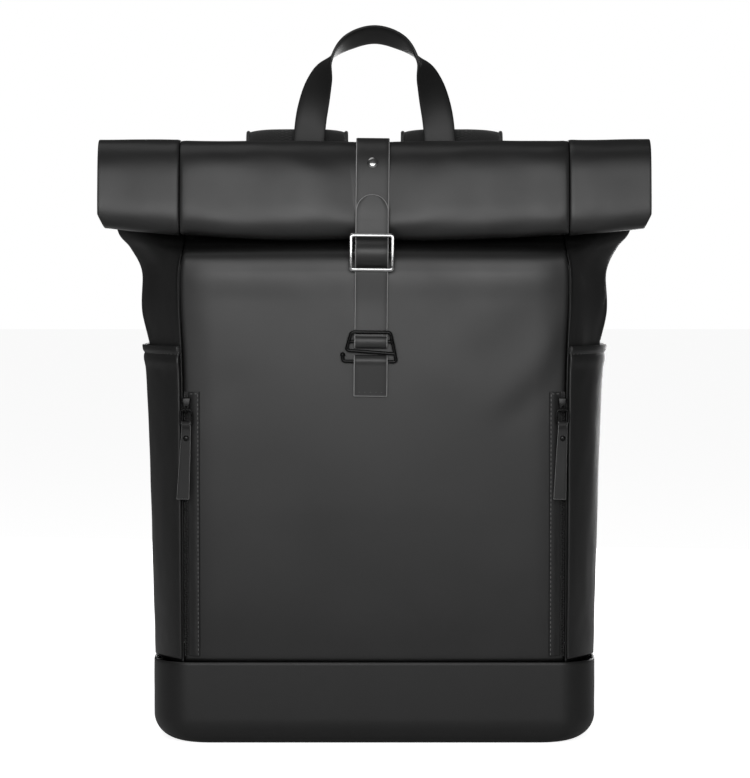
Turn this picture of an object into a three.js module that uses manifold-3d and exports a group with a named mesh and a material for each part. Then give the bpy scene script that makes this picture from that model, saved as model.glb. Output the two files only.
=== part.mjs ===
// A black roll-top laptop backpack, closed, standing on its base.
// Millimetres, +Z up, the front faces -Y, +X is to the right as seen from the front.
// The origin is the middle of the flat underside.
import * as THREE from "three";
import { mergeVertices } from "three/addons/utils/BufferGeometryUtils.js";
import Module from "manifold-3d";

// The bag as a whole
const BASE_WIDTH = 311;
const BASE_DEPTH = 121;
const BOOT_HEIGHT = 58;
const BAG_HEIGHT = 424.3;
const FRONT_PANEL_WIDTH = 270;
const FRONT_CROWN = 3.2;
const FABRIC = 1.8;
const GAP = 0.3;

// The boot at the foot
const BOOT_WALL = 2.4;
const BOOT_CORNER_SIDE = 26;
const BOOT_CORNER_FRONT = 13;
const BOOT_CORNER_HEIGHT = 25;

// The rolled mouth
const ROLL_WIDTH = 390;
const ROLL_HEIGHT = 71.3;
const ROLL_DEPTH = 56;
const ROLL_SHEET = 4;
const ROLL_PITCH = 7.5;
const ROLL_SQUARENESS = 4;
const ROLL_START = 40;
const ROLL_FINISH = 700;
const ROLL_LEAN = 8;
const ROLL_END_LIFT = 8;
const ROLL_END_PROUD = 1.2;
const ROLL_CORNER_CUT = 4;
const ROLL_CORNER_RISE = 9;
const NECK_SETBACK = 10;

// The padded back
const BACK_PADDING = 6;
const BACK_PROUD = 3.5;

// Side pockets
const POCKET_FULLNESS = 6.6;
const HEM_HEIGHT = 8;
const HEM_EXTRA = 1;

// The closure: strap, buckle, gate hook and anchor loop
const STRAP_WIDTH = 23.5;
const STRAP_THICKNESS = 1.5;
const TONGUE_WIDTH = 22;
const TONGUE_TIP = 12;
const TONGUE_DROP = 38.8;
const STRAP_LEAVES = 196;
const CLOSURE_X = -1;
const CLOSURE_LEAN = 0.6;
const BAR_RADIUS = 1.2;
const BUCKLE_WIDTH = 32;
const BUCKLE_HEIGHT = 27;
const BUCKLE_BAR = 3;
const BUCKLE_DEPTH = 2.4;
const BUCKLE_DROP = 92.3;
const HOOK_TOP_DROP = 134.3;
const HOOK_DROP = 20.5;
const HOOK_MIDDLE_DROP = 6.6;
const HOOK_HALF_TOP = 13.6;
const HOOK_LEFT = -17.2;
const HOOK_RIGHT = 16.6;
const HOOK_GATE_LEFT_DROP = 12.8;
const HOOK_GATE_RIGHT_DROP = 15;
const HOOK_TIP_RISE = 4.6;
const HOOK_TIP_LEFT = -19.6;
const HOOK_CORNER_RIGHT = 18;
const HOOK_BEND = 2.2;
const HOOK_POST = 2;
const LOOP_LENGTH = 45;
const RIVET_DROP = 16.3;
const RIVET_PIN = 1.2;
const RIVET_RADIUS = 3.9;
const RIVET_DOME = 1.6;

// Front zips
const ZIP_FOOT = 62;
const ZIP_HEAD = 248;
const PLACKET_INSET = 3.6;
const PLACKET_WIDTH = 8;
const PLACKET_THICKNESS = 1.4;
const CHAIN_WIDTH = 2.6;
const SLIDER_WIDTH = 6.4;
const SLIDER_HEIGHT = 10;
const SLIDER_DEPTH = 2.6;
const BAIL_RADIUS = 2.4;
const BAIL_WIRE = 0.7;
const RING_HALF_WIDTH = 4.2;
const RING_HALF_HEIGHT = 5.2;
const RING_SQUARENESS = 4;
const RING_WIRE = 0.7;
const TAB_LENGTH = 52;
const TAB_WIDTH = 5.8;
const TAB_FLARE = 2.8;
const TAB_THICKNESS = 1.1;
const TAB_RIVET_DROP = 9.5;
const TAB_RIVET_RADIUS = 2;

// Handle
const HANDLE_RISE = 81.7;
const HANDLE_SPREAD = 96;
const HANDLE_WIDTH = 23;
const HANDLE_THICKNESS = 3;
const HANDLE_FOOT_DROP = 52.3;
const HANDLE_TILT = 30;

// Shoulder straps
const SHOULDER_WIDTH = 73;
const SHOULDER_TIP_WIDTH = 46;
const SHOULDER_THICKNESS = 7;
const SHOULDER_PLACE = 57;
const SHOULDER_RISE = 12.7;
const SHOULDER_FOOT = 165;
const SHOULDER_REACH = 40;
const YOKE_DROP = 36.3;
const YOKE_HEIGHT = 43;
const YOKE_THICKNESS = 2;
const WEBBING_WIDTH = 25;
const WEBBING_THICKNESS = 1.5;
const WEBBING_TAIL = 60;
const WEBBING_PLACE = 112;
const WEBBING_FOOT = 32;
const STRAP_LOOP_DROP = 5;
const ANCHOR_HEAD = 56;
const ANCHOR_THICKNESS = 2;
const ADJUSTER_WIDTH = 33;
const ADJUSTER_HEIGHT = 24;
const ADJUSTER_BAR = 2.6;
const ADJUSTER_DEPTH = 2.2;

// How finely the curved pieces are divided
const FRONT_STEPS = [7, 18];
const SIDE_STEPS = [9, 17];
const BOOT_STEPS = [32, 5];
const ROLL_STEPS = 42;
const POCKET_ROWS = 9;
const HANDLE_STEPS = 32;
const SHOULDER_STEPS = [4, 22];

// Heights and places that follow from the sizes above
const HALF_WIDTH = BASE_WIDTH / 2;
const HALF_DEPTH = BASE_DEPTH / 2;
const SEAM_HALF = FRONT_PANEL_WIDTH / 2;
const ROLL_FOOT = BAG_HEIGHT - ROLL_HEIGHT;
const RIVET_HEIGHT = BAG_HEIGHT - RIVET_DROP;
const TONGUE_TOP = BAG_HEIGHT - TONGUE_DROP;
const BUCKLE_FOOT = BAG_HEIGHT - BUCKLE_DROP;
const HOOK_TOP = BAG_HEIGHT - HOOK_TOP_DROP;
const LOOP_FOOT = HOOK_TOP - LOOP_LENGTH;
const HANDLE_TOP = BAG_HEIGHT + HANDLE_RISE;
const HANDLE_FOOT = BAG_HEIGHT - HANDLE_FOOT_DROP;
const SHOULDER_TOP = BAG_HEIGHT + SHOULDER_RISE;
const YOKE_HEAD = BAG_HEIGHT - YOKE_DROP;
const YOKE_FOOT = YOKE_HEAD - YOKE_HEIGHT;
const NECK_Y = -NECK_SETBACK;
const NECK_HALF = FABRIC + 0.4;

const wasm = await Module();
wasm.setup();

// Materials
function finish(color, roughness, metalness) {
  return new THREE.MeshStandardMaterial({ color, roughness, metalness });
}
const coatedCloth = () => finish(0x2b2b2d, 0.62, 0);
const bootCloth = () => finish(0x252527, 0.6, 0);
const strapCloth = () => finish(0x333335, 0.6, 0);
const paddedCloth = () => finish(0x1d1d1f, 0.9, 0);
const webbingCloth = () => finish(0x151516, 0.85, 0);
const silver = () => finish(0xd8d8d6, 0.18, 1);
const gunmetal = () => finish(0x26262a, 0.32, 1);
const blackPlastic = () => finish(0x161617, 0.5, 0);

// Small helpers of calculation
const radians = THREE.MathUtils.degToRad;
const lerp = THREE.MathUtils.lerp;
const power = (value, exponent) => Math.sign(value) * Math.abs(value) ** exponent;

function range(from, to, steps) {
  return Array.from({ length: steps + 1 }, (_, i) => lerp(from, to, i / steps));
}

function signedVolume(geometry) {
  const place = geometry.attributes.position;
  const corner = [0, 1, 2].map(() => new THREE.Vector3());
  let total = 0;
  for (let i = 0; i < geometry.index.count; i += 3) {
    corner.forEach((point, k) => point.fromBufferAttribute(place, geometry.index.getX(i + k)));
    total += corner[0].dot(corner[1].cross(corner[2])) / 6;
  }
  return total;
}

function pointOutwards(geometry) {
  if (signedVolume(geometry) < 0) {
    const index = geometry.index.array;
    for (let i = 0; i < index.length; i += 3) {
      [index[i], index[i + 1]] = [index[i + 1], index[i]];
    }
  }
  geometry.computeVertexNormals();
  return geometry;
}

// A plain geometry without seams, so that it is one closed body
function welded(geometry) {
  geometry.deleteAttribute("normal");
  geometry.deleteAttribute("uv");
  return mergeVertices(geometry, 1e-4);
}

// Every vertex of a welded geometry moved by place(x, y, z), which returns a Vector3
function shaped(geometry, place) {
  const solid = welded(geometry);
  const position = solid.attributes.position;
  for (let i = 0; i < position.count; i += 1) {
    const point = place(position.getX(i), position.getY(i), position.getZ(i));
    position.setXYZ(i, point.x, point.y, point.z);
  }
  return pointOutwards(solid);
}

// A curved sheet: place(across, through, along) has all three from 0 to 1
function sheet(across, along, place) {
  const block = new THREE.BoxGeometry(1, 1, 1, across, 1, along);
  return shaped(block, (x, y, z) => place(x + 0.5, y + 0.5, z + 0.5));
}

function toManifold(geometry) {
  const solid = pointOutwards(welded(geometry));
  return new wasm.Manifold(new wasm.Mesh({
    numProp: 3,
    vertProperties: new Float32Array(solid.attributes.position.array),
    triVerts: new Uint32Array(solid.index.array),
  }));
}

function fromManifold(solid) {
  const mesh = solid.getMesh();
  const geometry = new THREE.BufferGeometry();
  geometry.setAttribute("position", new THREE.BufferAttribute(mesh.vertProperties, 3));
  geometry.setIndex(new THREE.BufferAttribute(mesh.triVerts, 1));
  geometry.computeVertexNormals();
  return geometry;
}

const joined = (first, ...rest) =>
  fromManifold(rest.reduce((sum, next) => sum.add(toManifold(next)), toManifold(first)));
const cutBy = (body, ...tools) =>
  fromManifold(tools.reduce((sum, next) => sum.subtract(toManifold(next)), toManifold(body)));

function named(name, geometry, material) {
  const mesh = new THREE.Mesh(geometry, material);
  mesh.name = name;
  return mesh;
}

// The rolled mouth: a flattened spiral, seen from the side.
// Angle 0 is the back of the roll, 90 its top, 180 its front and 270 its foot.
const rollTightening = (angle) => ROLL_PITCH * (angle - ROLL_START) / 360;
const ROLL_HALF_HEIGHT = (ROLL_HEIGHT + rollTightening(90) + rollTightening(270)) / 2;
const ROLL_MIDDLE_Z = BAG_HEIGHT - ROLL_HALF_HEIGHT + rollTightening(90);

function rollOutline(angle, depthIn, lift) {
  const inset = rollTightening(angle) + depthIn;
  const bend = 2 / ROLL_SQUARENESS;
  const y = (ROLL_DEPTH / 2 - inset) * power(Math.cos(radians(angle)), bend);
  const z = (ROLL_HALF_HEIGHT - lift / 2 - inset) * power(Math.sin(radians(angle)), bend) + lift / 2;
  return new THREE.Vector2(y + z * Math.tan(radians(ROLL_LEAN)), z);
}

const rollStartMiddle = rollOutline(ROLL_START, ROLL_SHEET / 2, 0);
const rollStartInner = rollOutline(ROLL_START, ROLL_SHEET, 0);
const ROLL_MIDDLE_Y = NECK_Y - rollStartMiddle.x;
const NECK_HEIGHT = ROLL_MIDDLE_Z + rollStartInner.y - GAP;

function rollPoint(angle, depthIn, x) {
  const lift = ROLL_END_LIFT * (2 * x / ROLL_WIDTH) ** 2;
  const flat = rollOutline(angle, depthIn, lift);
  return new THREE.Vector3(x, ROLL_MIDDLE_Y + flat.x, ROLL_MIDDLE_Z + flat.y);
}

// The shell: three edges run up the bag, from the boot (level 0) past the foot of the roll
// (level 1) to the neck (level 2). Each row is one height.
// Lengths are shares: out of the half front panel, tuck of the way back to the neck.
const FRONT_EDGE = [
  // level, out, tuck
  [0.0, 0.993, 0.052],
  [0.14, 0.993, 0.031],
  [0.38, 0.993, 0.021],
  [0.62, 0.995, 0.021],
  [0.75, 1.002, 0.031],
  [0.855, 1.015, 0.063],
  [0.93, 1.015, 0.126],
  [0.975, 1.0, 0.272],
  [0.992, 0.998, 0.565],
  [1.07, 1.0, 0.88],
  [1.4, 1.0, 0.97],
  [2.0, 1.01, 1.0],
];
// flare is the share of the way from the half base to the end of the roll; place is the share of
// the half depth at which the side is widest; the last two say how square its corners are.
const SIDE_FOLD = [
  // level, flare, place, frontCorner, backCorner
  [0.0, -0.089, -0.13, 1.35, 3.0],
  [0.14, -0.089, -0.13, 1.35, 3.0],
  [0.38, -0.071, -0.13, 1.35, 3.0],
  [0.62, -0.035, -0.12, 1.35, 3.0],
  [0.75, 0.025, -0.11, 1.3, 3.0],
  [0.855, 0.19, -0.1, 1.1, 2.6],
  [0.93, 0.25, -0.09, 1.0, 2.2],
  [0.985, 0.37, -0.08, 0.95, 1.9],
  [1.1, 0.48, -0.1, 0.95, 1.6],
  [1.38, 0.65, -0.13, 1.1, 1.4],
  [1.7, 0.83, -0.16, 1.6, 1.6],
  [2.0, 1.0, -0.165, 5.0, 5.0],
];
// out is a share of the half base width, tuck of the way forward to the neck
const BACK_EDGE = [
  // level, out, tuck
  [0.0, 0.952, 0.0],
  [0.14, 0.952, 0.0],
  [0.38, 0.952, 0.0],
  [0.62, 0.952, 0.0],
  [0.75, 0.952, 0.0],
  [0.855, 0.952, 0.0],
  [0.93, 0.952, 0.0],
  [1.0, 0.952, 0.0],
  [1.33, 0.952, 0.0],
  [1.63, 0.945, 0.03],
  [1.9, 0.92, 0.42],
  [2.0, 0.885, 1.0],
];
const LAST_ROW = FRONT_EDGE.length - 1;
const MOUTH_ROW = 4;
const BACK_TOP_ROW = 9;
const SHELL_START = BOOT_HEIGHT + GAP;

function heightAt(level) {
  return level < 1
    ? lerp(SHELL_START, ROLL_FOOT, level)
    : lerp(ROLL_FOOT, NECK_HEIGHT, level - 1);
}

const throughRows = (rows, place) =>
  new THREE.CatmullRomCurve3(rows.map(place), false, "catmullrom", 0.5);

const frontEdge = throughRows(FRONT_EDGE, ([level, out, tuck]) =>
  new THREE.Vector3(SEAM_HALF * out, lerp(-HALF_DEPTH, NECK_Y - NECK_HALF, tuck), heightAt(level)));
const sideFold = throughRows(SIDE_FOLD, ([level, flare, place]) =>
  new THREE.Vector3(lerp(HALF_WIDTH, ROLL_WIDTH / 2, flare), HALF_DEPTH * place, heightAt(level)));
const backEdge = throughRows(BACK_EDGE, ([level, out, tuck]) =>
  new THREE.Vector3(
    HALF_WIDTH * out,
    lerp(HALF_DEPTH - BACK_PROUD, NECK_Y + NECK_HALF, tuck),
    heightAt(level),
  ));
const cornerShape = throughRows(SIDE_FOLD, (row) => new THREE.Vector3(row[3], row[4], 0));

// The inward direction of the front or back cloth at a share of the way up
function inwardOf(edge, up, towards) {
  const along = edge.getTangent(up);
  return new THREE.Vector3(0, along.z, -along.y).normalize().multiplyScalar(towards);
}

const frontPoint = (across, up, inset) => {
  const edge = frontEdge.getPoint(up);
  const crown = FRONT_CROWN * (1 - across ** 2) * Math.min(1, 2.2 * (1 - up)) * Math.min(1, 0.3 + 4 * up);
  edge.x *= across;
  edge.addScaledVector(inwardOf(frontEdge, up, 1), inset - crown);
  return edge;
};

function sidePoint(round, up, inset) {
  const front = frontEdge.getPoint(up).addScaledVector(inwardOf(frontEdge, up, 1), inset);
  const fold = sideFold.getPoint(up);
  fold.x -= inset;
  const back = backEdge.getPoint(up).addScaledVector(inwardOf(backEdge, up, -1), inset);
  const corner = cornerShape.getPoint(up);
  const rear = round > 0.5;
  const edge = rear ? back : front;
  const bend = 2 / (rear ? corner.y : corner.x);
  const turn = Math.PI * (rear ? 1 - round : round);
  const rise = rear ? 2 - 2 * round : 2 * round;
  return new THREE.Vector3(
    edge.x + (fold.x - edge.x) * Math.sin(turn) ** bend,
    fold.y + (edge.y - fold.y) * Math.abs(Math.cos(turn)) ** bend,
    lerp(edge.z, fold.z, rise),
  );
}

const mirrored = (point, side) => new THREE.Vector3(point.x * side, point.y, point.z);

// How far up an edge a height is met, found by halving
function shareAtHeight(edge, height) {
  let low = 0;
  let high = 1;
  for (let i = 0; i < 40; i += 1) {
    const middle = (low + high) / 2;
    if (edge.getPoint(middle).z < height) {
      low = middle;
    } else {
      high = middle;
    }
  }
  return low;
}

function frontPanel() {
  const seam = 1 - GAP / SEAM_HALF;
  return sheet(...FRONT_STEPS, (a, t, s) => frontPoint(seam * (2 * a - 1), s, FABRIC * t));
}

function sidePanel(side) {
  return sheet(...SIDE_STEPS, (a, t, s) => mirrored(sidePoint(a, s, FABRIC * t), side));
}

function backPanel() {
  const top = BACK_TOP_ROW / LAST_ROW;
  return sheet(4, 10, (a, t, s) => {
    const point = backEdge.getPoint(s * top);
    const across = 2 * a - 1;
    const proud = BACK_PROUD * (1 - across ** 6) - BACK_PADDING * t;
    point.x = (point.x - GAP) * across;
    point.y += proud;
    return point;
  });
}

function topFabric() {
  const foot = (BACK_TOP_ROW + 0.12) / LAST_ROW;
  return sheet(4, 6, (a, t, s) => {
    const up = lerp(foot, 1, s);
    const point = backEdge.getPoint(up).addScaledVector(inwardOf(backEdge, up, -1), FABRIC * t);
    point.x = (point.x - GAP) * (2 * a - 1);
    return point;
  });
}

// One ring of the boot's outline: turn runs from the middle of the front round to the back and on
function bootOutline(turn, inset) {
  const side = turn > 0.5 ? -1 : 1;
  const share = turn > 0.5 ? 2 - 2 * turn : 2 * turn;
  const seam = SEAM_HALF * 0.96;
  const fold = HALF_WIDTH - inset;
  const front = -(HALF_DEPTH - inset);
  const back = HALF_DEPTH - inset;
  const place = HALF_DEPTH * SIDE_FOLD[0][2];
  if (share < 0.2) {
    return new THREE.Vector2(side * seam * share / 0.2, front);
  }
  if (share < 0.5) {
    const angle = (share - 0.2) / 0.3 * Math.PI / 2;
    return new THREE.Vector2(side * (seam + (fold - seam) * Math.sin(angle) ** 0.9),
      place + (front - place) * Math.cos(angle) ** 0.9);
  }
  if (share < 0.85) {
    const angle = (0.85 - share) / 0.35 * Math.PI / 2;
    const rear = HALF_WIDTH * BACK_EDGE[0][1];
    return new THREE.Vector2(side * (rear + (fold - rear) * Math.sin(angle) ** 0.6),
      place + (back - place) * Math.cos(angle) ** 0.6);
  }
  return new THREE.Vector2(side * HALF_WIDTH * BACK_EDGE[0][1] * (1 - share) / 0.15, back);
}

function bootBlock(inset, foot, head) {
  const drum = new THREE.CylinderGeometry(1, 1, 1, ...BOOT_STEPS);
  return shaped(drum, (x, y, z) => {
    const radius = Math.hypot(x, z);
    const turn = (Math.atan2(x, z) / (2 * Math.PI) + 1) % 1;
    const rim = bootOutline(turn, inset);
    const share = y + 0.5;
    const height = share < 0.6
      ? foot + BOOT_CORNER_HEIGHT * (1 - Math.cos(share / 0.6 * Math.PI / 2))
      : lerp(foot + BOOT_CORNER_HEIGHT, head, (share - 0.6) / 0.4);
    const under = share < 0.6 ? 1 - Math.sin(share / 0.6 * Math.PI / 2) : 0;
    return new THREE.Vector3(
      rim.x * radius * (1 - under * BOOT_CORNER_SIDE / HALF_WIDTH),
      rim.y * radius * (1 - under * BOOT_CORNER_FRONT / HALF_DEPTH),
      height,
    );
  });
}

function baseBoot() {
  return cutBy(bootBlock(0, 0, BOOT_HEIGHT), bootBlock(BOOT_WALL, BOOT_WALL, BOOT_HEIGHT + 10));
}

function rollSheet(across, from, to, proud, endCut) {
  return sheet(across, ROLL_STEPS, (a, t, s) => {
    const angle = lerp(ROLL_START, ROLL_FINISH, s);
    const point = rollPoint(angle, lerp(-proud, ROLL_SHEET, t), lerp(from, to, a));
    const low = Math.max(0, 1 - (point.z - ROLL_FOOT - ROLL_END_LIFT) / ROLL_CORNER_RISE);
    point.x -= Math.sign(to) * endCut * a * Math.min(1, low);
    return point;
  });
}

const ROLL_SEAM = SEAM_HALF * FRONT_EDGE[LAST_ROW][1];

function pocketPoint(round, rise, outward) {
  const up = lerp(0.004, MOUTH_ROW / LAST_ROW, rise);
  const step = 0.002;
  const near = sidePoint(Math.max(0.001, round - step), up, 0);
  const far = sidePoint(Math.min(0.999, round + step), up, 0);
  const away = new THREE.Vector3(far.y - near.y, near.x - far.x, 0).normalize();
  const fullness = POCKET_FULLNESS * Math.sin(Math.PI * round) ** 0.6 * (0.12 + 0.88 * rise);
  return sidePoint(round, up, 0).addScaledVector(away, GAP + fullness + outward);
}

function sidePocket(side) {
  const hemStart = 1 - HEM_HEIGHT / (heightAt(SIDE_FOLD[MOUTH_ROW][0]) - BOOT_HEIGHT);
  const plain = (POCKET_ROWS - 2) / POCKET_ROWS;
  return sheet(10, POCKET_ROWS, (a, t, s) => {
    const rise = s < plain ? lerp(0, hemStart, s / plain) : lerp(hemStart, 1, (s - plain) / (1 - plain));
    const thickness = FABRIC + (s > plain + 0.01 ? HEM_EXTRA : 0);
    return mirrored(pocketPoint(lerp(0.025, 0.975, a), rise, thickness * t), side);
  });
}

// A flat band of cloth along a route in the side view: points are Vector2 of y and z
function band(points, thickness, widthAt) {
  const last = points.length - 1;
  return sheet(1, last, (a, t, s) => {
    const i = Math.round(s * last);
    const ahead = points[Math.min(last, i + 1)];
    const behind = points[Math.max(0, i - 1)];
    const along = ahead.clone().sub(behind).normalize();
    const here = points[i];
    const shift = thickness * (t - 0.5);
    return new THREE.Vector3((a - 0.5) * widthAt(s), here.x + along.y * shift, here.y - along.x * shift);
  });
}

// Points round a bar, from one angle to another; 0 is behind the bar and 90 above it
function aroundBar(bar, radius, from, to, steps) {
  return Array.from({ length: steps + 1 }, (_, i) => {
    const angle = radians(lerp(from, to, i / steps));
    return new THREE.Vector2(bar.x + radius * Math.cos(angle), bar.y + radius * Math.sin(angle));
  });
}

// The closure hangs in front of the roll and the panel, so its places follow from both
const LAYER = STRAP_THICKNESS + GAP;
const strapOnRoll = (angle, layers) => {
  const point = rollPoint(angle, -GAP - STRAP_THICKNESS / 2 - layers * LAYER, 0);
  return new THREE.Vector2(point.y, point.z);
};
const hangStart = strapOnRoll(STRAP_LEAVES, 0);

// The strap where it crosses a height on the front of the roll, found by halving
function strapAngleAt(height) {
  let above = 90;
  let below = 270;
  for (let i = 0; i < 40; i += 1) {
    const middle = (above + below) / 2;
    if (strapOnRoll(middle, 0).y > height) {
      above = middle;
    } else {
      below = middle;
    }
  }
  return above;
}
const strapAtHeight = (height, layers) => strapOnRoll(strapAngleAt(height), layers);

const BUCKLE_HEAD = BUCKLE_FOOT + BUCKLE_HEIGHT;
const frameY = hangStart.x - LAYER - STRAP_THICKNESS / 2 - GAP - BUCKLE_DEPTH / 2 - 0.5;
const topBar = new THREE.Vector2(frameY, BUCKLE_HEAD - BUCKLE_BAR / 2);
const centreBar = new THREE.Vector2(frameY + 0.6, (BUCKLE_HEAD + BUCKLE_FOOT) / 2);
const bottomBar = new THREE.Vector2(frameY, BUCKLE_FOOT + BUCKLE_BAR / 2);
const WRAP = BAR_RADIUS + GAP + STRAP_THICKNESS / 2 + 0.05;
const OVER_WRAP = WRAP + LAYER + 0.05;
const UNDER_BAR = BUCKLE_DEPTH / 2 + GAP + STRAP_THICKNESS / 2 + 0.1;

const panelFaceY = Math.min(...range(LOOP_FOOT, HOOK_TOP, 9)
  .map((z) => frontPoint(0, shareAtHeight(frontEdge, z), 0).y));
const returnY = panelFaceY - GAP - STRAP_THICKNESS / 2;
const hookMiddle = new THREE.Vector2(returnY - LAYER - 0.4, HOOK_TOP - HOOK_MIDDLE_DROP);
const hookTop = new THREE.Vector2(returnY - LAYER - WRAP - 0.1, HOOK_TOP);
const hookLow = new THREE.Vector2(
  panelFaceY - GAP - STRAP_THICKNESS - GAP - BAR_RADIUS - 0.1,
  HOOK_TOP - HOOK_DROP,
);

function closureStrapUpper() {
  const start = (BACK_TOP_ROW + 0.45) / LAST_ROW;
  const onTop = range(start, 0.975, 6).map((up) => {
    const outward = inwardOf(backEdge, up, 1).multiplyScalar(GAP + STRAP_THICKNESS / 2 + 0.1);
    const point = backEdge.getPoint(up).add(outward);
    return new THREE.Vector2(point.y, point.z);
  });
  const route = [
    ...onTop,
    ...range(52, STRAP_LEAVES, 18).map((angle) => strapOnRoll(angle, 0)),
    new THREE.Vector2(hangStart.x, BUCKLE_HEAD - 3.5),
    ...aroundBar(centreBar, WRAP, 155, 345, 8),
    new THREE.Vector2(hangStart.x + LAYER + 0.9, centreBar.y + 7),
  ];
  return cutBy(band(route, STRAP_THICKNESS, () => STRAP_WIDTH), rivetHole());
}

// How far along a route each of its points lies
function distancesAlong(route) {
  const distances = [0];
  route.slice(1).forEach((point, i) => distances.push(distances[i] + point.distanceTo(route[i])));
  return distances;
}

// The free end of the lower strap is a round tongue that lies on the upper strap, pointing up
function closureStrapLower() {
  const route = [
    ...range(TONGUE_TOP, hangStart.y, 6).map((z) => strapAtHeight(z, 1)),
    new THREE.Vector2(topBar.x + UNDER_BAR, topBar.y + 1.8),
    new THREE.Vector2(topBar.x + UNDER_BAR, topBar.y - 1.6),
    ...aroundBar(centreBar, OVER_WRAP, 152, 222, 6),
    new THREE.Vector2(bottomBar.x + UNDER_BAR, bottomBar.y + 1.6),
    new THREE.Vector2(bottomBar.x + UNDER_BAR, bottomBar.y - 1.8),
    new THREE.Vector2(hookTop.x + WRAP, (BUCKLE_FOOT + HOOK_TOP) / 2),
    ...aroundBar(hookTop, WRAP, 10, -70, 4),
    ...aroundBar(hookMiddle, WRAP, 130, 350, 10),
    new THREE.Vector2(returnY, HOOK_TOP + 0.5),
    new THREE.Vector2(returnY, HOOK_TOP + 12),
  ];
  const distances = distancesAlong(route);
  return band(route, STRAP_THICKNESS, (s) => {
    const left = 1 - Math.min(1, (distances[Math.round(s * (route.length - 1))] + 0.4) / TONGUE_TIP);
    return TONGUE_WIDTH * Math.sqrt(1 - left ** 2);
  });
}

// The strap rivet stands square to the strap where it crosses the rivet's height
function onStrapAtRivet(geometry) {
  const angle = strapAngleAt(RIVET_HEIGHT);
  const here = strapOnRoll(angle, 0);
  const slope = strapOnRoll(angle + 2, 0).sub(strapOnRoll(angle - 2, 0)).normalize();
  const outward = new THREE.Vector3(0, slope.y, -slope.x);
  geometry.applyQuaternion(new THREE.Quaternion().setFromUnitVectors(new THREE.Vector3(0, 1, 0), outward));
  return pointOutwards(welded(geometry.translate(0, here.x, here.y)));
}

// A low dome on a pin, turned about the Y axis, with its foot at height zero
function rivetProfile(radius, dome, pinRadius, pinLength) {
  const points = [
    new THREE.Vector2(0, -pinLength),
    new THREE.Vector2(pinRadius, -pinLength),
    new THREE.Vector2(pinRadius, 0),
    new THREE.Vector2(radius, 0),
    new THREE.Vector2(radius * 0.94, dome * 0.45),
    new THREE.Vector2(radius * 0.6, dome * 0.86),
    new THREE.Vector2(0, dome),
  ];
  return new THREE.LatheGeometry(points, 16);
}

function strapRivet() {
  const rivet = rivetProfile(RIVET_RADIUS, RIVET_DOME, RIVET_PIN, STRAP_THICKNESS);
  return onStrapAtRivet(rivet.translate(0, STRAP_THICKNESS / 2 + GAP, 0));
}

function rivetHole() {
  const hole = RIVET_PIN + GAP;
  return onStrapAtRivet(new THREE.CylinderGeometry(hole, hole, 3 * STRAP_THICKNESS, 16));
}

function roundedRectangle(width, height, radius, Kind) {
  const outline = new Kind();
  const x = width / 2;
  const y = height / 2;
  outline.moveTo(-x + radius, -y);
  outline.lineTo(x - radius, -y);
  outline.absarc(x - radius, -y + radius, radius, -Math.PI / 2, 0);
  outline.lineTo(x, y - radius);
  outline.absarc(x - radius, y - radius, radius, 0, Math.PI / 2);
  outline.lineTo(-x + radius, y);
  outline.absarc(-x + radius, y - radius, radius, Math.PI / 2, Math.PI);
  outline.lineTo(-x, -y + radius);
  outline.absarc(-x + radius, -y + radius, radius, Math.PI, Math.PI * 1.5);
  outline.closePath();
  return outline;
}

// A rectangular frame standing in the XZ plane, its middle at depth y and height z
function standingFrame(width, height, bar, depth, y, z) {
  const outline = roundedRectangle(width, height, bar * 0.9, THREE.Shape);
  outline.holes.push(roundedRectangle(width - 2 * bar, height - 2 * bar, 0.5, THREE.Path));
  const frame = new THREE.ExtrudeGeometry(outline, { depth, bevelEnabled: false, curveSegments: 4 });
  frame.translate(0, 0, -depth / 2).rotateX(Math.PI / 2).translate(0, y, z);
  return frame;
}

function crossBar(width, radius, y, z) {
  return new THREE.CylinderGeometry(radius, radius, width, 10).rotateZ(Math.PI / 2).translate(0, y, z);
}

function buckleFrame() {
  const middle = (BUCKLE_HEAD + BUCKLE_FOOT) / 2;
  const frame = standingFrame(BUCKLE_WIDTH, BUCKLE_HEIGHT, BUCKLE_BAR, BUCKLE_DEPTH, frameY, middle);
  const radius = Math.min(BAR_RADIUS, BUCKLE_DEPTH / 2) - 0.02;
  const bar = crossBar(BUCKLE_WIDTH - BUCKLE_BAR, radius, centreBar.x, centreBar.y);
  return joined(frame, bar);
}

// A wire of six sides along a route of straight runs with rounded corners
function wire(points, radius, bend, steps) {
  const route = new THREE.CurvePath();
  let from = points[0];
  for (let i = 1; i < points.length - 1; i += 1) {
    const before = points[i].clone().add(points[i - 1].clone().sub(points[i]).setLength(bend));
    const after = points[i].clone().add(points[i + 1].clone().sub(points[i]).setLength(bend));
    route.add(new THREE.LineCurve3(from, before));
    route.add(new THREE.QuadraticBezierCurve3(before, points[i], after));
    from = after;
  }
  route.add(new THREE.LineCurve3(from, points[points.length - 1]));
  const round = new THREE.Shape().absarc(0, 0, radius, 0, Math.PI * 2);
  return new THREE.ExtrudeGeometry(round, { steps, extrudePath: route, curveSegments: 3 });
}

// The gate hook, seen from the front: a closed frame above, and an open hook below
function onHook(x, drop) {
  const share = drop / HOOK_DROP;
  return new THREE.Vector3(x, lerp(hookTop.x, hookLow.x, share), HOOK_TOP - drop);
}

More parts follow.
